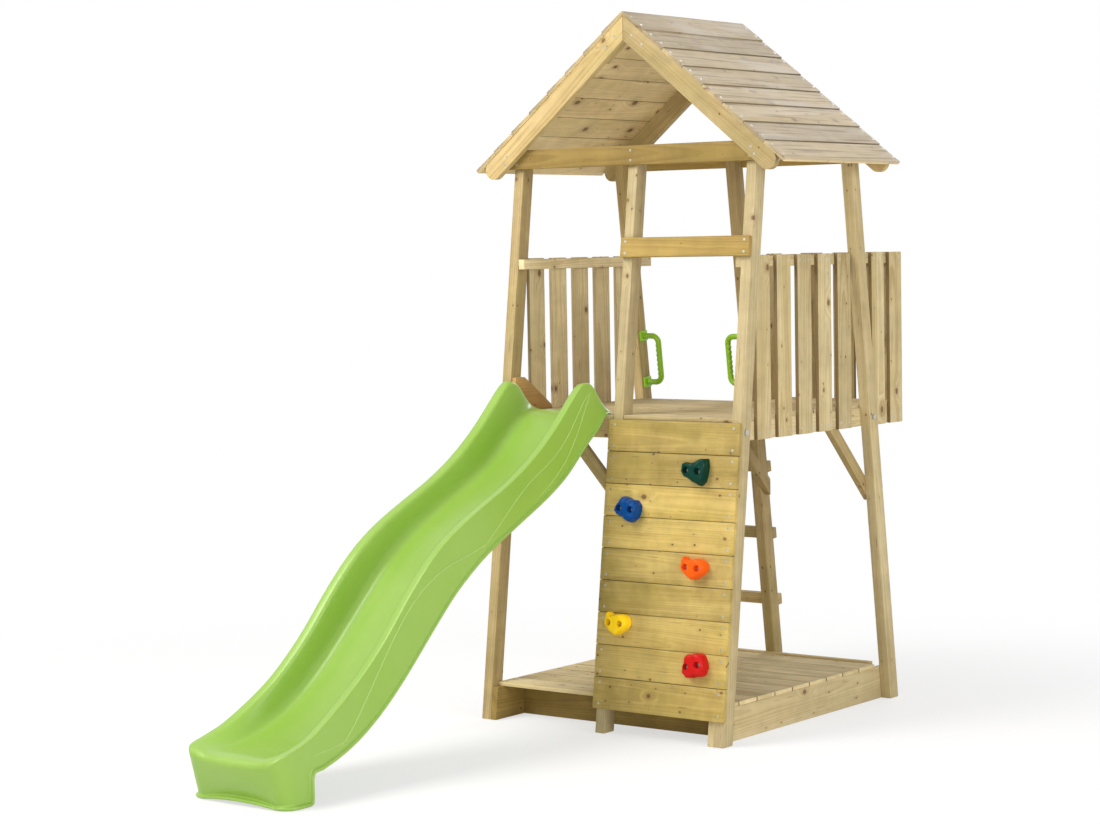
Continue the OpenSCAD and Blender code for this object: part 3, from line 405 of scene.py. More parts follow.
deck_pine = pine_finish(
    "deck board pine", (0.720, 0.588, 0.340, 1), (0.460, 0.345, 0.155, 1),
    (0.440, 0.362, 0.165, 1), 0.40, 0.30, 0.30, ribbed=True, dark_edges=0.85)
cheek_wood = pine_finish(
    "stained cheek wood", (0.600, 0.365, 0.125, 1), (0.430, 0.230, 0.072, 1),
    (0.510, 0.310, 0.100, 1), 0.30, 0.25, 0.2)
pale_pine = pine_finish(
    "pale treated pine", (0.590, 0.485, 0.280, 1), (0.410, 0.310, 0.145, 1),
    (0.440, 0.355, 0.165, 1), 0.30, 0.30, 0.38)
# paler wood for the left railing; on its slats it is painted light, for faces that lie in shade
pale_and_lit_pine = pine_finish(
    "fresh pine", (0.760, 0.640, 0.400, 1), (0.520, 0.400, 0.200, 1), (0.540, 0.440, 0.215, 1),
    0.30, 0.34, 0.42, cloud=0.6, dark_edges=0.60, edge_colour=GAP_EDGE_SHADE)
dark_pine = pine_finish(
    "dark treated pine", (0.410, 0.280, 0.080, 1), (0.270, 0.170, 0.040, 1),
    (0.290, 0.208, 0.048, 1), 0.40, 0.36, 0.36)


# Moulded plastic: fine grain, slow colour drift and a little scuffing
def make_plastic_group():
    g, take_in, give = new_group(
        "moulded plastic",
        [("Colour", "Color", (0.3, 0.5, 0.1, 1)), ("Worn", "Color", (0.4, 0.6, 0.2, 1)),
         ("Grain Scale", "Float", 900.0), ("Smooth", "Float", 0.25), ("Rough", "Float", 0.42)])
    at = here_on_piece(g)
    drift = cloudy(g, at, 2.6, 3.0)
    scuff = cloudy(g, at, 26.0, 6.0, 0.7)
    worn = plus(g, times(g, spread(g, drift, 0.35, 0.7), 0.28),
                times(g, spread(g, scuff, 0.52, 0.75), 0.16))
    g.links.new(blend_colour(g, worn, take_in["Colour"], take_in["Worn"]), give["Color"])
    mixed = place(g, "MapRange",
                  {0: scuff, 1: 0.3, 2: 0.7, 3: take_in["Smooth"], 4: take_in["Rough"]})
    g.links.new(mixed.outputs[0], give["Roughness"])
    g.links.new(cloudy(g, at, take_in["Grain Scale"], 2.0), give["Height"])
    return g


plastic_group = make_plastic_group()
# painted highlight: the pale colour that the slide's raised lines are lightened towards
RIDGE_HIGHLIGHT_COLOUR = (0.560, 0.740, 0.260, 1)


def plastic_finish(name, colour, worn, grain_scale, smooth, rough, depth, coat=0.0, shine=0.5):
    m, tree, shader = new_finish(name)
    body = place(tree, "Group",
                 {"Colour": colour, "Worn": worn, "Grain Scale": grain_scale, "Smooth": smooth,
                  "Rough": rough}, node_tree=plastic_group)
    # painted highlight: points marked on the slide's raised lines are lightened
    wear = times(tree, written(tree, "wear"), 0.35)
    colour = blend_colour(tree, wear, body.outputs["Color"], RIDGE_HIGHLIGHT_COLOUR)
    dress(tree, shader, colour, body, 0.25, depth)
    set_plain(shader, {"Coat Weight": coat, "Specular IOR Level": shine, "Coat Roughness": 0.15})
    return m


slide_lime = plastic_finish(
    "slide lime", (0.250, 0.430, 0.053, 1), (0.320, 0.485, 0.105, 1), 700.0, 0.28, 0.40, 0.0003,
    coat=0.15)
handle_lime = plastic_finish(
    "handle lime", (0.290, 0.600, 0.014, 1), (0.350, 0.650, 0.040, 1), 1100.0, 0.26, 0.40, 0.0003,
    coat=0.2)
HOLD_COLOURS = {"hold_green": ((0.001, 0.032, 0.020, 1), (0.002, 0.050, 0.033, 1)),
                "hold_blue": ((0.002, 0.050, 0.210, 1), (0.004, 0.072, 0.270, 1)),
                "hold_orange": ((0.850, 0.105, 0.006, 1), (0.880, 0.145, 0.012, 1)),
                "hold_yellow": ((0.930, 0.610, 0.010, 1), (0.950, 0.670, 0.025, 1)),
                "hold_red": ((0.530, 0.010, 0.009, 1), (0.600, 0.020, 0.017, 1))}
hold_finish = {node: plastic_finish(node.replace("_", " "), fresh, worn, 420.0, 0.24, 0.38, 0.0008,
                                    shine=0.12)
               for node, (fresh, worn) in HOLD_COLOURS.items()}


def zinc_finish():
    m, tree, shader = new_finish("zinc plate")
    bloom = cloudy(tree, here_on_piece(tree), 260.0, 4.0)
    tint = blend_colour(tree, bloom, (0.62, 0.61, 0.57, 1), (0.40, 0.39, 0.35, 1))
    tree.links.new(tint, shader.inputs["Base Color"])
    tree.links.new(spread(tree, bloom, 0.3, 0.7, 0.30, 0.55), shader.inputs["Roughness"])
    set_plain(shader, {"Metallic": 0.9})
    return m


zinc = zinc_finish()

# Timber: a merged copy of each wooden node gets planed edges, and each board its own grain
FASTENERS = ("wall_screws", "slat_screws", "roof_screws", "frame_screws", "frame_bolts",
             "hold_bolts")
HANDLES = ("grab_handle_left", "grab_handle_right")
NOT_TIMBER = (*FASTENERS, *HANDLES, *HOLD_COLOURS, "slide")


def roof_ways(side):
    """The way up across the roof's boards on one side, and the way out of their faces."""
    return (Vector((-side * math.cos(PITCH), 0, math.sin(PITCH))),
            Vector((side * math.sin(PITCH), 0, math.cos(PITCH))))


# boards that lie edge to edge: the way up across them, and the way out of their faces
CLOSE_BOARDS = {"climbing_wall_boards": (Vector((0, math.sin(LEAN), math.cos(LEAN))), Vector()),
                "roof_boards_left": roof_ways(-1), "roof_boards_right": roof_ways(1)}
# how far edges are eased: plain timber, boards in a field, handles, bolts
EASE, EASE_CLOSE, EASE_GRIP, EASE_BOLT = 0.0022, 0.003, 0.003, 0.0009
# an edge is eased if it is longer than this, and its faces turn by more than this
EASED_LENGTH, EASED_ANGLE = 0.008, 0.35
# a face looks one way if its normal has this share of it
FACING = 0.95
TONGUE, TONGUE_INSET = 0.0014, 0.003
RIBS, RIB_DEPTH = 9, 0.0016
# how light some nodes are, from 0 to 1, and how far their boards differ; the lower deck boards, the
# left railing's slats and the back right post are set lighter as painted light, the front base
# joist darker as painted shade
TONES = {"tie_beam_front": 0.3, "base_joist_front": 0.0, "base_board_right": 0.8,
         "post_front_right": 0.45, "post_front_middle": 0.25, "post_front_left": 0.3,
         "post_back_right": 0.8, "railing_left_rail": 0.9, "railing_left_slats": 0.7,
         "railing_right_slats": 0.6, "balcony_back_slats": 0.6, "lower_deck_boards": 0.9,
         "platform_deck_boards": 0.1, "roof_boards_left": 0.85}
TONE_RANGE = 0.4
# the back right post is among these as painted light, paler for its brightly lit right side
PALE = ("base_board_right", "post_front_middle", "post_front_right", "post_back_right",
        "platform_beam_right", "railing_right_rail")
# painted light: the left railing's slats are paler so that their shaded inner faces look lit; the
# rail is paler wood
PALE_AND_LIT = ("railing_left_rail", "railing_left_slats")
# painted shade: the front base joist is among these, darker for its shadow under the deck
DARK = ("tie_beam_front", "tie_beam_back", "cross_rail", "base_joist_front", "base_board_left")


def eased_copy(node, ease):
    """A copy of a node with whole faces and eased edges."""
    piece = add_object(node + "_timber", nodes[node].data.copy())
    take(piece)
    set_mode("EDIT")
    choose("SELECT")
    bpy.ops.mesh.remove_doubles(threshold=MERGE)
    bpy.ops.mesh.customdata_custom_splitnormals_clear()
    bpy.ops.mesh.dissolve_limited(angle_limit=math.radians(0.5))
    set_mode("OBJECT")
    bm = bmesh.new()
    bm.from_mesh(piece.data)
    mark = bm.edges.layers.float.new("bevel_weight_edge")
    for e in bm.edges:
        if (len(e.link_faces) == 2 and e.calc_length() > EASED_LENGTH
                and e.calc_face_angle() > EASED_ANGLE):
            e[mark] = 1.0
    bm.to_mesh(piece.data)
    bm.free()
    m = piece.modifiers.new("eased edges", "BEVEL")
    m.width = ease
    m.segments = 2
    m.limit_method = "WEIGHT"
    m.use_clamp_overlap = False
    apply_all(piece)
    smooth_to(32)
    return piece


def shut_joints(piece, up):
    """Gives each board but the topmost a tongue up to the next, so that no light comes through."""
    highest = max(f.center.dot(up) for f in piece.data.polygons if f.normal.dot(up) > FACING)
    edit_only(piece, "FACE", lambda f: (f.normal.dot(up) > FACING and f.area > 0.002
                                        and f.center.dot(up) < highest - 0.02))
    bpy.ops.mesh.inset(thickness=TONGUE_INSET)
    bpy.ops.mesh.extrude_region_move(TRANSFORM_OT_translate={"value": up * TONGUE})
    set_mode("OBJECT")


def rib_boards(piece):
    """Cuts fine ribs along the top of each deck board that has plain ends."""
    mesh = piece.data

    def run(key):
        return mesh.vertices[key[0]].co - mesh.vertices[key[1]].co

    tops = [f for f in mesh.polygons
            if f.normal.z > FACING and f.area > 0.01 and len(f.vertices) == 4]
    rows = []
    chosen = set()
    for f in tops:
        corners = [mesh.vertices[i].co.copy() for i in f.vertices]
        ends = sorted(f.edge_keys, key=lambda k: run(k).length)[:2]
        chosen.update(tuple(sorted(k)) for k in ends)
        side = run(ends[0])
        axis = 0 if abs(side.x) > abs(side.y) else 1
        rows.append((axis, [min(c[k] for c in corners) for k in (0, 1)],
                     [max(c[k] for c in corners) for k in (0, 1)]))
    level_top = max(v.co.z for v in mesh.vertices)
    edit_only(piece, "EDGE", lambda e: tuple(sorted(e.vertices)) in chosen)
    bpy.ops.mesh.subdivide(number_cuts=2 * RIBS - 1)
    set_mode("OBJECT")
    groove = [0.0] * len(mesh.vertices)
    for v in mesh.vertices:
        if abs(v.co.z - level_top) > 0.0001:
            continue
        for axis, low, high in rows:
            if all(low[k] - 0.0002 < v.co[k] < high[k] + 0.0002 for k in (0, 1)):
                step = round((v.co[axis] - low[axis]) / (high[axis] - low[axis]) * 2 * RIBS)
                groove[v.index] = step % 2
    for v in mesh.vertices:
        v.co.z -= groove[v.index] * RIB_DEPTH
    mesh.attributes.new("groove", "FLOAT", "POINT").data.foreach_set("value", groove)


def board_axes(board, faces):
    """The ways along a board, across its wide face and through its thickness."""
    def where(part):
        """Tells parts of one size apart by their places, so that each run chooses the same one."""
        return [round(sum(v.co[k] for v in part.verts) / len(part.verts), 4) for k in (0, 1, 2)]

    edges = {e for v in board for e in v.link_edges}
    rims = [e for e in edges if len(e.link_faces) == 2 and e.calc_face_angle() > 0.2]
    longest = max(rims, key=lambda e: (round(e.calc_length(), 5), *where(e)))
    a = (longest.verts[0].co - longest.verts[1].co).normalized()
    if max(a, key=abs) < 0:
        a = -a
    sides = [f for f in faces if abs(f.normal.dot(a)) < 0.3]
    n = max(sides, key=lambda f: (round(f.calc_area(), 6), *where(f))).normal.copy()
    n = (n - a * n.dot(a)).normalized()
    return a, n.cross(a), n


def give_grain(piece, tone_at=None, up=None, outward=Vector()):
    """Writes where each point lies in its own board: along the grain, across the face, through the
    thickness; then which faces are inside a joint, and which points are on the outer side."""
    mesh = piece.data
    bm = bmesh.new()
    bm.from_mesh(mesh)
    heights = [v.co.dot(up) for v in bm.verts] if up else [-9, 9]
    lowest, highest = min(heights) + 0.01, max(heights) - 0.01
    dice = random.Random(piece.name)
    grain = [0.0] * (3 * len(bm.verts))
    tone = [0.5] * len(bm.verts)
    joint = [0.0] * len(mesh.loops)
    outside = [0.0] * len(bm.verts)
    for board in islands(bm):
        faces = {f for v in board for f in v.link_faces}
        a, b, n = board_axes(board, faces)
        middle = sum((v.co for v in board), Vector()) / len(board)
        shift = Vector((dice.uniform(-40, 40), dice.uniform(-0.05, 0.05),
                        dice.choice((-1, 1)) * dice.uniform(0.035, 0.085)))
        shade = dice.random()
        if tone_at is not None:
            shade = tone_at + TONE_RANGE * (shade - 0.5)
        half = max(abs((v.co - middle).dot(b)) for v in board)
        for v in board:
            d = v.co - middle
            grain[3 * v.index: 3 * v.index + 3] = [d.dot(a) + shift.x, d.dot(b) + shift.y,
                                                   d.dot(n) + shift.z]
            tone[v.index] = shade
            outside[v.index] = 1.0 if d.dot(outward) > 0.002 else 0.0
        for f in faces:
            here = f.calc_center_median()
            mark = 0.0
            # the narrow sides inside a joint, which the finish darkens as painted shade
            if (abs(f.normal.dot(b)) > 0.9 and abs((here - middle).dot(b)) > half - 0.006
                    and lowest < (here.dot(up) if up else 0) < highest):
                mark = 1.0
            # the ends of the roof boards, which the finish darkens as end grain
            elif outward.length and abs(f.normal.dot(a)) > 0.9:
                mark = 0.7
            for corner in f.loops:
                joint[corner.index] = mark
    bm.free()
    mesh.attributes.new("grain", "FLOAT_VECTOR", "POINT").data.foreach_set("vector", grain)
    for name, domain, values in (("tone", "POINT", tone), ("outside", "POINT", outside),
                                 ("joint", "CORNER", joint)):
        mesh.attributes.new(name, "FLOAT", domain).data.foreach_set("value", values)


def wood_of(node):
    """The finish and the slot of a wooden node."""
    if node.startswith("roof_boards"):
        return roof_pine, "roof_wood"
    if node.endswith("deck_boards"):
        return deck_pine, "deck_wood"
    if node == "slide_cheek_board":
        return cheek_wood, "stained_wood"
    if node == "climbing_wall_boards":
        finish = wall_pine
    elif node in PALE_AND_LIT:
        finish = pale_and_lit_pine
    elif node.endswith(("slats", "slat")):
        finish = slat_pine
    else:
        finish = pale_pine if node in PALE else dark_pine if node in DARK else treated_pine
    return finish, "treated_pine"


for node in sorted(nodes):
    if node in NOT_TIMBER:
        continue
    ways = CLOSE_BOARDS.get(node, ())
    timber = eased_copy(node, EASE_CLOSE if ways else EASE)
    if ways:
        shut_joints(timber, ways[0])
    elif node.endswith("deck_boards"):
        rib_boards(timber)
    give_grain(timber, TONES.get(node), *ways)
    finish_piece(timber, *wood_of(node), node)

# Screws: one head with a socket, copied to each place that the node's screws take
HEAD_D, HEAD_T, HEAD_RIM, HEAD_DOME = 0.010, 0.0022, 0.0006, 0.0004
SOCKET_DEPTH = 0.0014
SHANK_R = 0.0022
MODEL_LENGTH = 0.030
# points of a screw that are closer than this to its tip are on the same end
END_REACH = 0.0125


def loose_parts(mesh):
    """The places of the points of each separate part of a mesh of loose triangles."""
    bm = bmesh.new()
    bm.from_mesh(mesh)
    bmesh.ops.remove_doubles(bm, verts=bm.verts, dist=MERGE)
    parts = [[v.co.copy() for v in part] for part in islands(bm)]
    bm.free()
    return parts


def screw_axis(points):
    """The middle of a screw's head top, the way that it faces, and the screw's length."""
    middle = sum(points, Vector()) / len(points)
    far = max(points, key=lambda p: (p - middle).length)
    other = max(points, key=lambda p: (p - far).length)
    ends = []
    for tip in (far, other):
        ring = [p for p in points if (p - tip).length < END_REACH]
        ends.append((sum(ring, Vector()) / len(ring), max((p - tip).length for p in ring)))
    ends.sort(key=lambda e: e[1])
    way = (ends[1][0] - ends[0][0]).normalized()
    top = max((p - middle).dot(way) for p in points)
    low = min((p - middle).dot(way) for p in points)
    return middle + way * top, way, top - low


def make_screw():
    """One screw of the model length, with its head's top at the origin."""
    put_down()
    bpy.ops.mesh.primitive_cylinder_add(vertices=14, radius=HEAD_D / 2, depth=HEAD_T,
                                        location=(0, 0, -HEAD_T / 2))
    screw = bpy.context.object
    settle(screw)
    edit_only(screw, "FACE", lambda f: f.normal.z > 0.9)
    bpy.ops.mesh.inset(thickness=HEAD_RIM)
    bpy.ops.transform.translate(value=(0, 0, HEAD_DOME))
    bpy.ops.mesh.inset(thickness=HEAD_D * 0.2)
    bpy.ops.mesh.inset(thickness=HEAD_D * 0.05)
    bpy.ops.transform.translate(value=(0, 0, -SOCKET_DEPTH))
    choose("SELECT")
    bpy.ops.transform.translate(value=(0, 0, -HEAD_DOME))
    put_down()
    bpy.ops.mesh.primitive_cylinder_add(vertices=8, radius=SHANK_R, depth=MODEL_LENGTH - HEAD_T,
                                        location=(0, 0, -HEAD_T / 2 - MODEL_LENGTH / 2))
    join_to(screw, [bpy.context.object])
    return screw


def place_screws(node):
    placed = []
    model = make_screw()
    for points in loose_parts(nodes[node].data):
        top, way, length = screw_axis(points)
        copy = add_object(node + "_one", model.data.copy())
        turn = way.to_track_quat("Z", "Y").to_matrix().to_4x4()
        stretch = Matrix.Diagonal((1, 1, length / MODEL_LENGTH, 1))
        copy.matrix_world = Matrix.Translation(top) @ turn @ stretch
        placed.append(copy)
    bpy.data.objects.remove(model)
    group = placed[0]
    join_to(group, placed[1:])
    group.name = node + "_set"
    settle(group)
    smooth_to(30)
    finish_piece(group, zinc, "zinc", node)


for node in FASTENERS:
    if node.endswith("screws"):
        place_screws(node)
    else:
        finish_piece(eased_copy(node, EASE_BOLT), zinc, "zinc", node)

# Slide: heights of bed and rim are shares of the drop at shares of the run
SLIDE_X = -0.26975
DECK_EDGE = -0.48927 + TOWER_Y
RUN = 1.840
LIP_TOP = PLATFORM + 0.012
BED_END = 0.172
RIM_END = 0.177
DROP = LIP_TOP - BED_END
BED = [(-0.04, 0), (0.022, 0), (0.045, 0.024), (0.07, 0.055), (0.14, 0.165), (0.21, 0.235),
       (0.29, 0.3), (0.41, 0.4), (0.5, 0.505), (0.58, 0.635), (0.66, 0.77), (0.73, 0.87),
       (0.8, 0.945), (0.87, 0.99), (0.93, 1.004), (1, 1)]
RIM = [(-0.04, -0.005), (-0.02, -0.005), (0, -0.035), (0.022, -0.086), (0.034, -0.106),
       (0.05, -0.111), (0.066, -0.106), (0.08, -0.084), (0.113, -0.028), (0.16, 0.05),
       (0.2, 0.105), (0.25, 0.165), (0.32, 0.23), (0.4, 0.29), (0.48, 0.355), (0.54, 0.42),
       (0.59, 0.495), (0.64, 0.58), (0.685, 0.67), (0.735, 0.75), (0.79, 0.825), (0.85, 0.89),
       (0.91, 0.945), (0.96, 0.978), (1, 0.994)]
HALF_SKIRT = 0.215
HALF_RIM = 0.198
HALF_BED = 0.125
RIM_W = 0.038
SLIDE_WALL = 0.005
# the walls widen from this share of the run on, over this share of it, by this much
FLARE_FROM, FLARE_OVER, SKIRT_FLARE, RIM_FLARE = 0.80, 0.14, 0.007, 0.022
FOOT_S = 1 - 0.150 / RUN
FOOT_LEAN = 0.054
NOSE_ROUND = 0.052
NOSE_EDGE = 0.040
NOSE_BULGE = 0.010
NOSE_REACH = 0.026
# from the flange's lower edge up the front: how far its middle stands out, and how far it is lifted
NOSE_FRONT = [(0.006, 0.011), (0.006, 0.011), (0.006, 0.014), (-0.005, 0.014), (-0.005, 0.013),
              (0.001, 0.006), (0.008, 0.002)]
# the lower edge's bead: how far up from the edge, and how far out of the wall
BEAD = [(0.000, -0.004), (0.000, 0.011), (0.013, 0.011), (0.015, -0.001), (0.024, -0.001)]


def straight(curve, s):
    for (s0, v0), (s1, v1) in zip(curve, curve[1:]):
        if s <= s1:
            break
    return v0 + (v1 - v0) * (s - s0) / (s1 - s0)


def level(curve, s, reach=0.02):
    """Height of the bed or rim at a share of the run, with its corners rounded."""
    near = (straight(curve, max(s - reach, -0.04)) + 2 * straight(curve, s)
            + straight(curve, min(s + reach, 1))) / 4
    return LIP_TOP - DROP * near


def skirt_edge(s):
    return level(BED, s) - 0.012 - max(min(0.050, s * RUN * 0.8), 0)


def nose_turn(s, reach):
    """Sine and cosine of how far a round edge has turned at a share of the run."""
    u = max(1 - (1 - s) * RUN / reach, 0)
    return u, math.sqrt(max(1 - u * u, 0))


def skin_point(s, half, out, z):
    """A point of the slide's skin: half is its way from the middle, out its rise from the wall."""
    sine, cosine = nose_turn(s, NOSE_ROUND)
    wide = 1 - NOSE_ROUND / HALF_SKIRT * (1 - cosine)
    z *= 1 - NOSE_EDGE / BED_END * (1 - nose_turn(s, NOSE_EDGE)[1])
    foot = max(s - FOOT_S, 0) / (1 - FOOT_S)
    lean = foot * (FOOT_LEAN * (1 - z / RIM_END) - NOSE_REACH)
    bulge = NOSE_BULGE * sine * (1 - (half / HALF_SKIRT) ** 2)
    return Vector((half * wide + out * cosine, DECK_EDGE - s * RUN + lean - bulge - out * sine, z))


def half_row(top_s, edge_s, edge_z, in_s, in_z):
    """Half a row of the slide's net: from the lower edge's bead up the wall, over the rim, to the
    bed's middle."""
    zb = level(BED, top_s)
    zr = max(level(RIM, top_s, 0.008 if top_s < 0.1 else 0.02), zb + 0.005)
    d = zr - zb
    k = min(1.0, (zr - edge_z) / 0.080)
    flare = min(max((top_s - FLARE_FROM) / FLARE_OVER, 0), 1)
    skirt = HALF_SKIRT + SKIRT_FLARE * flare
    rim = HALF_RIM + RIM_FLARE * flare
    row = [(edge_s + in_s * along * k / RUN, skirt, out * k, edge_z + in_z * along * k)
           for along, out in BEAD]
    foot_s, foot_z = row[-1][0], row[-1][3]
    brow_z = zr - 0.006 * k
    for share in (0.34, 0.68):
        row.append((foot_s + (top_s - foot_s) * share, skirt + (rim - skirt) * share, 0.0,
                    foot_z + (brow_z - foot_z) * share))
    inner = rim - RIM_W
    row += [(top_s, half, 0.0, z) for half, z in (
        (rim, brow_z), (rim - 0.001, zr), (rim - 0.007, zr + 0.001 * k),
        (inner + 0.004, zr - 0.002 * k), (inner - 0.003, zr - min(0.012, d * 0.2)),
        (HALF_BED + 0.022, zb + d * 0.32), (HALF_BED + 0.008, zb + d * 0.05),
        (HALF_BED - 0.016, zb), (HALF_BED - 0.065, zb), (0.0, zb))]
    return row


def slide_rows():
    """Rows of the net, each with its place on the lower edge, which steps down at the foot."""
    low = skirt_edge(FOOT_S)
    plain = [-0.0215, -0.014, -0.004, 0.006, 0.018, 0.03, 0.04, 0.05, 0.062, 0.078, 0.1, 0.125,
             0.15, 0.18]
    plain += [0.18 + 0.036 * i for i in range(1, 20)] + [0.878]
    rows = [half_row(s, s, skirt_edge(s), 0, 1) for s in plain]
    step = [(-0.044, -0.044, low, 0, 1), (-0.026, -0.016, low, 0.2, 1),
            (-0.014, -0.004, low - 0.005, 0.6, 0.8), (-0.004, 0.000, low - 0.020, 0.95, 0.3),
            (0.006, 0.000, low - 0.050, 1, 0), (0.016, 0.000, 0.022, 1, 0),
            (0.026, 0.005, 0.005, 0.75, 0.66), (0.040, 0.020, 0, 0.15, 1), (0.060, 0.052, 0, 0, 1),
            (0.080, 0.080, 0, 0, 1)]
    rows += [half_row(FOOT_S + a / RUN, FOOT_S + b / RUN, z, ns, nz) for a, b, z, ns, nz in step]
    for turn in (0, 25, 48, 66, 80, 90):
        s = 1 - (1 - math.sin(math.radians(turn))) * NOSE_ROUND / RUN
        rows.append(half_row(s, s, 0, 0, 1))
    return rows


def sheet_piece(name, rows):
    """A grid of control points, made from a plane grid whose points are moved to their places."""
    put_down()
    tall, wide = len(rows), len(rows[0])
    bpy.ops.mesh.primitive_grid_add(x_subdivisions=wide - 1, y_subdivisions=tall - 1, size=2)
    piece = bpy.context.object
    piece.name = name
    for v in piece.data.vertices:
        i = round((v.co.x + 1) / 2 * (wide - 1))
        j = round((v.co.y + 1) / 2 * (tall - 1))
        v.co = rows[j][i]
    return piece


def nose_rows(last):
    """Rows across the front, from under the top edge down to the flange."""
    side = len(NOSE_FRONT)
    top = last[side: len(last) - side]
    half_top = top[-1].x - SLIDE_X
    across = [(p.x - SLIDE_X) / half_top for p in top]
    front = [top]
    for k in range(side - 1, -1, -1):
        edge = last[-1 - k]
        wide = (edge.x - SLIDE_X) / half_top
        swell, lift = NOSE_FRONT[k]
        front.append([Vector((SLIDE_X + half_top * wide * a, edge.y - swell * (1 - a * a),
                              edge.z + lift * (1 - a * a))) for a in across])
    return front


def make_slide():
    rows = []
    for row in slide_rows():
        right = [skin_point(*p) for p in row]
        left = [Vector((-p.x, p.y, p.z)) for p in right]
        rows.append([Vector((SLIDE_X, 0, 0)) + p for p in left + right[-2::-1]])
    shell = sheet_piece("slide_shell", rows)
    join_to(shell, [sheet_piece("slide_nose", nose_rows(rows[-1]))])
    set_mode("EDIT")
    choose("SELECT")
    bpy.ops.mesh.remove_doubles(threshold=0.0003)
    bpy.ops.mesh.normals_make_consistent(inside=False)
    set_mode("OBJECT")
    middle = Vector((SLIDE_X, DECK_EDGE - RUN / 2, 0.7))
    bed = min(shell.data.polygons, key=lambda f: (f.center - middle).length)
    if bed.normal.z < 0:
        shell.data.flip_normals()
    wall = shell.modifiers.new("wall", "SOLIDIFY")
    wall.thickness = SLIDE_WALL
    wall.offset = -1
    smooth = shell.modifiers.new("moulded form", "SUBSURF")
    smooth.levels = smooth.render_levels = 2
    apply_all(shell)
    bpy.ops.object.shade_smooth()
    return shell


# Raised lines on the slide's outer walls: share of the run, height on the wall from edge to rim
RIDGES = [
    [(0.035, 0.84), (0.055, 0.74), (0.085, 0.64), (0.12, 0.56), (0.16, 0.53), (0.20, 0.56),
     (0.24, 0.60), (0.27, 0.57), (0.31, 0.45), (0.35, 0.28), (0.39, 0.12), (0.42, 0.03)],
    [(0.040, 0.80), (0.055, 0.62), (0.075, 0.44), (0.10, 0.29), (0.14, 0.16), (0.19, 0.08),
     (0.24, 0.03)],
    [(0.37, 0.03), (0.41, 0.12), (0.45, 0.26), (0.49, 0.43), (0.53, 0.60), (0.58, 0.76),
     (0.63, 0.84), (0.68, 0.82), (0.72, 0.70), (0.76, 0.50), (0.79, 0.32), (0.82, 0.15),
     (0.845, 0.03)],
    [(0.80, 0.03), (0.83, 0.11), (0.86, 0.21), (0.89, 0.30), (0.92, 0.36)],
]
RIDGE_R = 0.0032
RIDGE_SUNK = 0.0006


def wall_point(s, h, side):
    row = half_row(s, s, skirt_edge(s), 0, 1)
    low, high = skin_point(*row[len(BEAD) - 1]), skin_point(*row[len(BEAD) + 2])
    p = low.lerp(high, h)
    return Vector((SLIDE_X + side * p.x, p.y, p.z))


def smooth_path(points):
    """Points of a smooth line through the given ones, four to each stretch."""
    path = []
    for i in range(len(points) - 1):
        a, b, c, d = (Vector(points[min(max(i + k, 0), len(points) - 1)]) for k in (-1, 0, 1, 2))
        for t in (0, 0.25, 0.5, 0.75):
            path.append((2 * b + (c - a) * t + (2 * a - 5 * b + 4 * c - d) * t * t
                         + (3 * b - a - 3 * c + d) * t ** 3) / 2)
    return path


def ridge_line(shell, points, side):
    """A thin round bead laid on the slide's skin along a smooth line."""
    path = smooth_path(points)
    curve = bpy.data.curves.new("slide_line", "CURVE")
    curve.dimensions = "3D"
    curve.bevel_depth = RIDGE_R
    curve.bevel_resolution = 1
    curve.use_fill_caps = True
    line = curve.splines.new("POLY")
    line.points.add(len(path) - 1)
    out = Vector((side, 0, 0))
    for i, (s, h) in enumerate(path):
        near, normal = shell.ray_cast(wall_point(s, h, side) + out * 0.06, -out)[1:3]
        line.points[i].co = (*(near - normal * RIDGE_SUNK), 1)
        line.points[i].radius = min(1, 0.25 + 0.2 * min(i, len(path) - 1 - i))
    take(add_object("slide_line", curve))
    bpy.ops.object.convert(target="MESH")
    bpy.ops.object.shade_smooth()
    piece = bpy.context.object
    # painted highlight: every point of the raised line is marked for the finish to lighten
    wear = piece.data.attributes.new("wear", "FLOAT", "POINT")
    wear.data.foreach_set("value", [1.0] * len(piece.data.vertices))
    return piece


slide = make_slide()
join_to(slide, [ridge_line(slide, points, side) for side in (-1, 1) for points in RIDGES])
finish_piece(slide, slide_lime, "lime_plastic", "slide")

# Grab handles: the node's form, with finger waves on the side of the grip that faces the post
WAVES, WAVE_DEPTH, WAVE_CUTS = 7, 0.0022, 35


def wave_grip(grip):
    mesh = grip.data
    middle = sum((v.co for v in mesh.vertices), Vector()) / len(mesh.vertices)

    def ends(e):
        return [mesh.vertices[i].co for i in e.vertices]

    def upright(e):
        return abs(ends(e)[0].z - ends(e)[1].z) > 0.08

    bars = [e for e in mesh.edges if upright(e)]
    foot, head = sorted(p.z for p in ends(bars[0]))
    bar = sum((ends(e)[0] + ends(e)[1] for e in bars), Vector()) / (2 * len(bars))
    inward = Vector((middle.x - bar.x, middle.y - bar.y, 0)).normalized()
    edit_only(grip, "EDGE", upright)
    bpy.ops.mesh.subdivide(number_cuts=WAVE_CUTS)
    set_mode("OBJECT")
    for v in mesh.vertices:
        facing = v.normal.dot(inward)
        if foot + 0.002 < v.co.z < head - 0.002 and facing > 0.1:
            turn = (v.co.z - foot) / (head - foot) * WAVES * 2 * math.pi
            v.co += inward * facing * WAVE_DEPTH * math.sin(turn)


for node in HANDLES:
    grip = eased_copy(node, EASE_GRIP)
    wave_grip(grip)
    smooth_to(40)
    finish_piece(grip, handle_lime, "lime_plastic", node)

# Holds: an outline drawn up in rings, smoothed, roughened and drilled for its two bolts
HALF_HOLD = 0.059
HOLD_GRIT = 0.0006
FLAME = [(-96, -14), (-92, 16), (-89, 46), (-81, 70), (-71, 62), (-60, 47), (-42, 45), (-8, 60),
         (40, 67), (82, 49), (99, 8), (79, -29), (39, -61), (2, -83), (-33, -63), (-67, -40)]
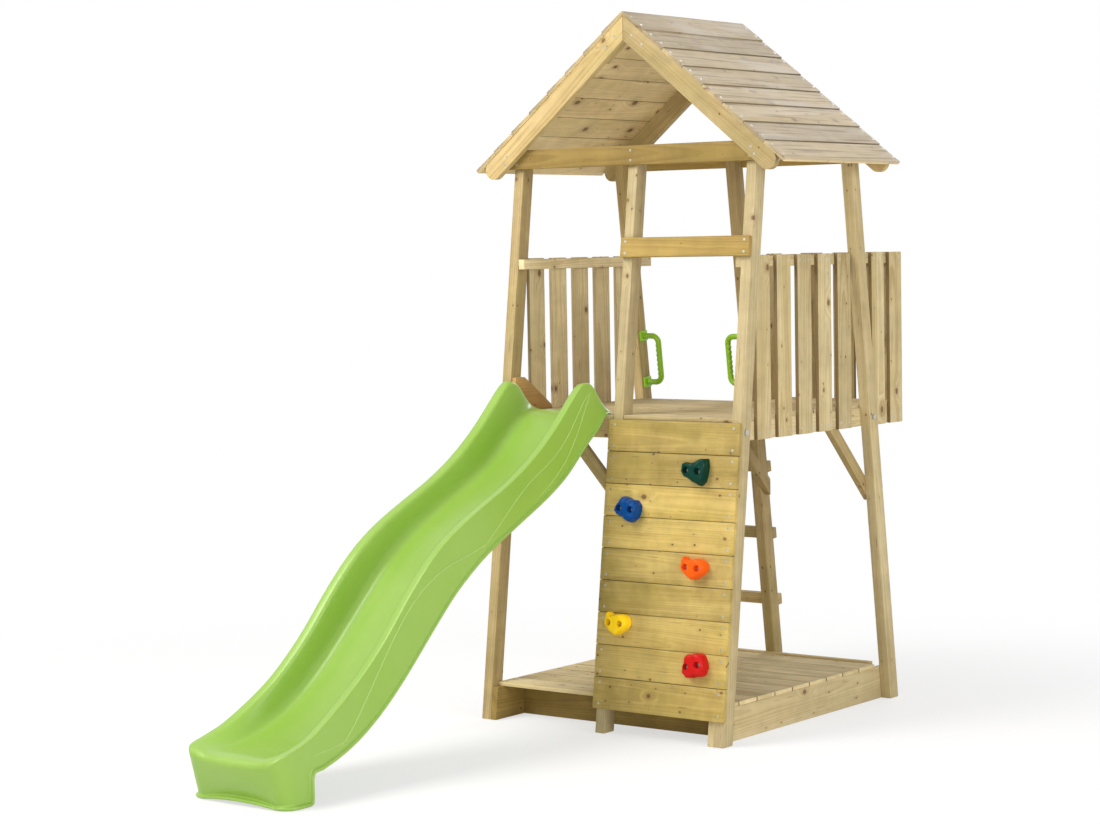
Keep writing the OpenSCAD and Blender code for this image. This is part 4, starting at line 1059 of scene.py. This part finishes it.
# each hold's place across and up the wall, its turn in degrees, its outline's scale across and up,
# how sharp its edges are, how high its lumps are, and its outline in hundredths of half a hold
HOLDS = {
    "hold_green": ((0.400, 1.010), -4, (0.97, 1.14), 0.60, 0.0042, [
        (-95, -8), (-88, 30), (-52, 42), (-14, 44), (38, 66), (75, 76), (88, 38), (88, -8),
        (80, -52), (54, -78), (14, -64), (-30, -46), (-68, -38)]),
    "hold_blue": ((0.106, 0.855), -4, (0.95, 1.09), 0.50, 0.0036, [
        (-92, -14), (-80, 22), (-58, 44), (-40, 72), (-6, 66), (20, 56), (58, 58), (90, 30),
        (92, -10), (75, -48), (40, -76), (10, -72), (-6, -52), (-38, -50), (-74, -44)]),
    "hold_orange": ((0.421, 0.652), -3, (0.95, 0.95), 0.30, 0.0010, FLAME),
    "hold_yellow": ((0.088, 0.423), -3, (0.91, 0.96), 0.30, 0.0010, FLAME),
    "hold_red": ((0.448, 0.293), 12, (0.93, 1.07), 0.45, 0.0024, [
        (-92, -30), (-80, 8), (-66, 26), (-54, 58), (-24, 72), (8, 66), (40, 72), (76, 54),
        (88, 18), (90, -20), (62, -62), (28, -70), (2, -56), (-24, -68), (-64, -66)]),
}
# ring by ring: how far it rises, and its share of the outline
HOLD_RISE = [(0.004, 1.0), (0.020, 1.0), (0.012, 0.97), (0.007, 0.90), (0.004, 0.78), (0.0015, 0.5)]
BOLT_OFF = 0.026
SEAT_R, SEAT_FLOOR, SEAT_STEP, SEAT_DEPTH, SEAT_FLARE = 0.0095, 0.022, 0.006, 0.030, 1.55


def make_drill(side):
    """A cutter for one bolt seat, wider towards the hold's face."""
    put_down()
    bpy.ops.mesh.primitive_cylinder_add(vertices=32, radius=SEAT_R, depth=SEAT_STEP,
                                        location=(side * BOLT_OFF, 0, SEAT_FLOOR + SEAT_STEP / 2))
    drill = bpy.context.object
    settle(drill)
    edit_only(drill, "FACE", lambda f: f.normal.z > 0.9)
    bpy.ops.mesh.extrude_region_move(TRANSFORM_OT_translate={"value": (0, 0, SEAT_DEPTH)})
    bpy.ops.transform.resize(value=(SEAT_FLARE, SEAT_FLARE, 1),
                             center_override=(side * BOLT_OFF, 0, 0))
    set_mode("OBJECT")
    return drill


def roughen(piece, lift, lumps):
    """Raises lumps and grit on a hold, more of them farther from the wall."""
    # all the normals first, because a moved point turns its neighbours' normals
    outward = [v.normal.copy() for v in piece.data.vertices]
    for v, out in zip(piece.data.vertices, outward):
        up = min(v.co.z / 0.03, 1)
        rough = (noise.noise(v.co * 38 + lift) * lumps
                 + noise.noise(v.co * 150 + lift) * HOLD_GRIT)
        v.co += out * rough * up


def make_hold(node):
    (x_at, up_at), turn, (wide, tall), crease, lumps, outline = HOLDS[node]
    put_down()
    bpy.ops.mesh.primitive_circle_add(vertices=len(outline), radius=1, fill_type="NGON")
    piece = bpy.context.object
    piece.name = node + "_body"
    for v, (x, y) in zip(piece.data.vertices, outline):
        v.co = (x / 100 * HALF_HOLD * wide, y / 100 * HALF_HOLD * tall, 0)
    set_mode("EDIT")
    bpy.ops.mesh.select_mode(type="FACE")
    choose("SELECT")
    size = 1.0
    for rise, share in HOLD_RISE:
        bpy.ops.mesh.extrude_region_move(TRANSFORM_OT_translate={"value": (0, 0, rise)})
        bpy.ops.transform.resize(value=(share / size, share / size, 1), center_override=(0, 0, 0))
        size = share
    choose("SELECT")
    bpy.ops.mesh.normals_make_consistent(inside=False)
    bpy.ops.transform.edge_crease(value=crease)
    set_mode("OBJECT")
    m = piece.modifiers.new("moulded form", "SUBSURF")
    m.levels = m.render_levels = 3
    apply_all(piece)
    roughen(piece, Vector((len(node) * 3.1, outline[0][0], outline[1][1])), lumps)
    for side in (-1, 1):
        drill = make_drill(side)
        m = piece.modifiers.new("bolt seat", "BOOLEAN")
        m.object = drill
        m.operation = "DIFFERENCE"
        m.solver = "EXACT"
        apply_all(piece)
        bpy.data.objects.remove(drill)
    wall = (Matrix.Translation((0, TOWER_Y - FOOT_DEPTH / 2, 0)) @ Matrix.Rotation(-LEAN, 4, "X")
            @ Matrix.Translation((x_at, -WALL_T, up_at)))
    piece.matrix_world = (wall @ Matrix.Rotation(math.radians(90), 4, "X")
                          @ Matrix.Rotation(math.radians(turn), 4, "Z"))
    settle(piece)
    smooth_to(45)
    finish_piece(piece, hold_finish[node], node, node)


for node in hold_finish:
    make_hold(node)

# Floor, light and camera
WHITE = (1, 1, 1, 1)


def seen_rays(tree):
    """One for rays that show a thing to the eye, straight, mirrored or through glass."""
    rays = place(tree, "LightPath").outputs
    straight_on = calc(tree, "MAXIMUM", rays["Is Camera Ray"], rays["Is Glossy Ray"])
    return calc(tree, "MAXIMUM", straight_on, rays["Is Transmission Ray"])


def make_floor():
    put_down()
    bpy.ops.mesh.primitive_plane_add(size=80, location=(0, 0, -0.001))
    floor = bpy.context.object
    floor.name = "studio_floor"
    m, tree, shader = new_finish("studio floor")
    seen = seen_rays(tree)
    tree.links.new(blend_colour(tree, seen, (0.78, 0.77, 0.75, 1), (0.90, 0.90, 0.90, 1)),
                   shader.inputs["Base Color"])
    set_plain(shader, {"Roughness": 0.95, "Specular IOR Level": 0.0})
    glow = place(tree, "Emission", {"Color": WHITE, "Strength": 1.0})
    far = vector_calc(tree, "LENGTH", here_on_piece(tree))
    share = times(tree, seen, spread(tree, far, 1.6, 4.0, 0.62, 1.0))
    mix = place(tree, "MixShader", {0: share, 1: shader.outputs[0], 2: glow.outputs[0]})
    tree.links.new(mix.outputs[0], tree.nodes["Material Output"].inputs["Surface"])
    floor.data.materials.append(m)


def make_world():
    world = bpy.data.worlds.new("studio")
    bpy.context.scene.world = world
    world.use_nodes = True
    tree = world.node_tree
    soft = tree.nodes["Background"]
    set_plain(soft, {"Color": WHITE, "Strength": 0.42})
    white = place(tree, "Background", {"Color": WHITE, "Strength": 1.0})
    mix = place(tree, "MixShader", {0: seen_rays(tree), 1: soft.outputs[0], 2: white.outputs[0]})
    tree.links.new(mix.outputs[0], tree.nodes["World Output"].inputs["Surface"])


def area_lamp(name, place_at, look_at, size, power, colour):
    lamp = bpy.data.lights.new(name, "AREA")
    lamp.shape = "DISK"
    lamp.size = size
    lamp.energy = power
    lamp.color = colour
    obj = add_object(name, lamp)
    obj.location = place_at
    aim = Vector(look_at) - Vector(place_at)
    obj.rotation_euler = aim.to_track_quat("-Z", "Y").to_euler()


# the camera's turn, tilt and roll in degrees, its place, and its focal length in the photo's pixels
CAMERA_TURN = (37.414, -3.691, -1.005)
CAMERA_AT = (5.737676, -8.410126 + TOWER_Y, 1.846433)
FOCAL_PIXELS, PHOTO_PIXELS, SENSOR = 2570.775, 1100, 36


def make_camera():
    yaw, pitch, roll = map(math.radians, CAMERA_TURN)
    ahead = Vector((-math.sin(yaw) * math.cos(pitch), math.cos(yaw) * math.cos(pitch),
                    math.sin(pitch)))
    right = Vector((math.cos(yaw), math.sin(yaw), 0))
    up = right.cross(ahead)
    turned_right = math.cos(roll) * right + math.sin(roll) * up
    turned_up = -math.sin(roll) * right + math.cos(roll) * up
    lens = bpy.data.cameras.new("camera")
    lens.sensor_fit = "HORIZONTAL"
    lens.sensor_width = SENSOR
    lens.lens = FOCAL_PIXELS / PHOTO_PIXELS * SENSOR
    cam = add_object("camera", lens)
    turn = Matrix((turned_right, turned_up, -ahead)).transposed().to_4x4()
    cam.matrix_world = Matrix.Translation(CAMERA_AT) @ turn
    bpy.context.scene.camera = cam


make_floor()
make_world()
area_lamp("key softbox", (-3.2, -7.0, 7.0), (0, 0.2, 1.2), 4.5, 440, (1.0, 0.97, 0.92))
area_lamp("right softbox", (8.5, -0.8, 3.2), (0, 0.7, 1.6), 4.0, 310, (0.98, 0.99, 1.0))
area_lamp("low front fill", (5.5, -6.5, 0.9), (0, 0.8, 1.9), 3.5, 225, (1.0, 0.98, 0.95))
area_lamp("top softbox", (-1.8, -2.8, 5.2), (-0.3, -0.9, 0.4), 3.0, 140, (1.0, 0.99, 0.97))
area_lamp("back softbox", (-1.0, 8.5, 6.0), (0, 0.8, 1.4), 5.0, 260, (1.0, 1.0, 1.0))
make_camera()
bpy.context.scene.view_settings.view_transform = "Standard"
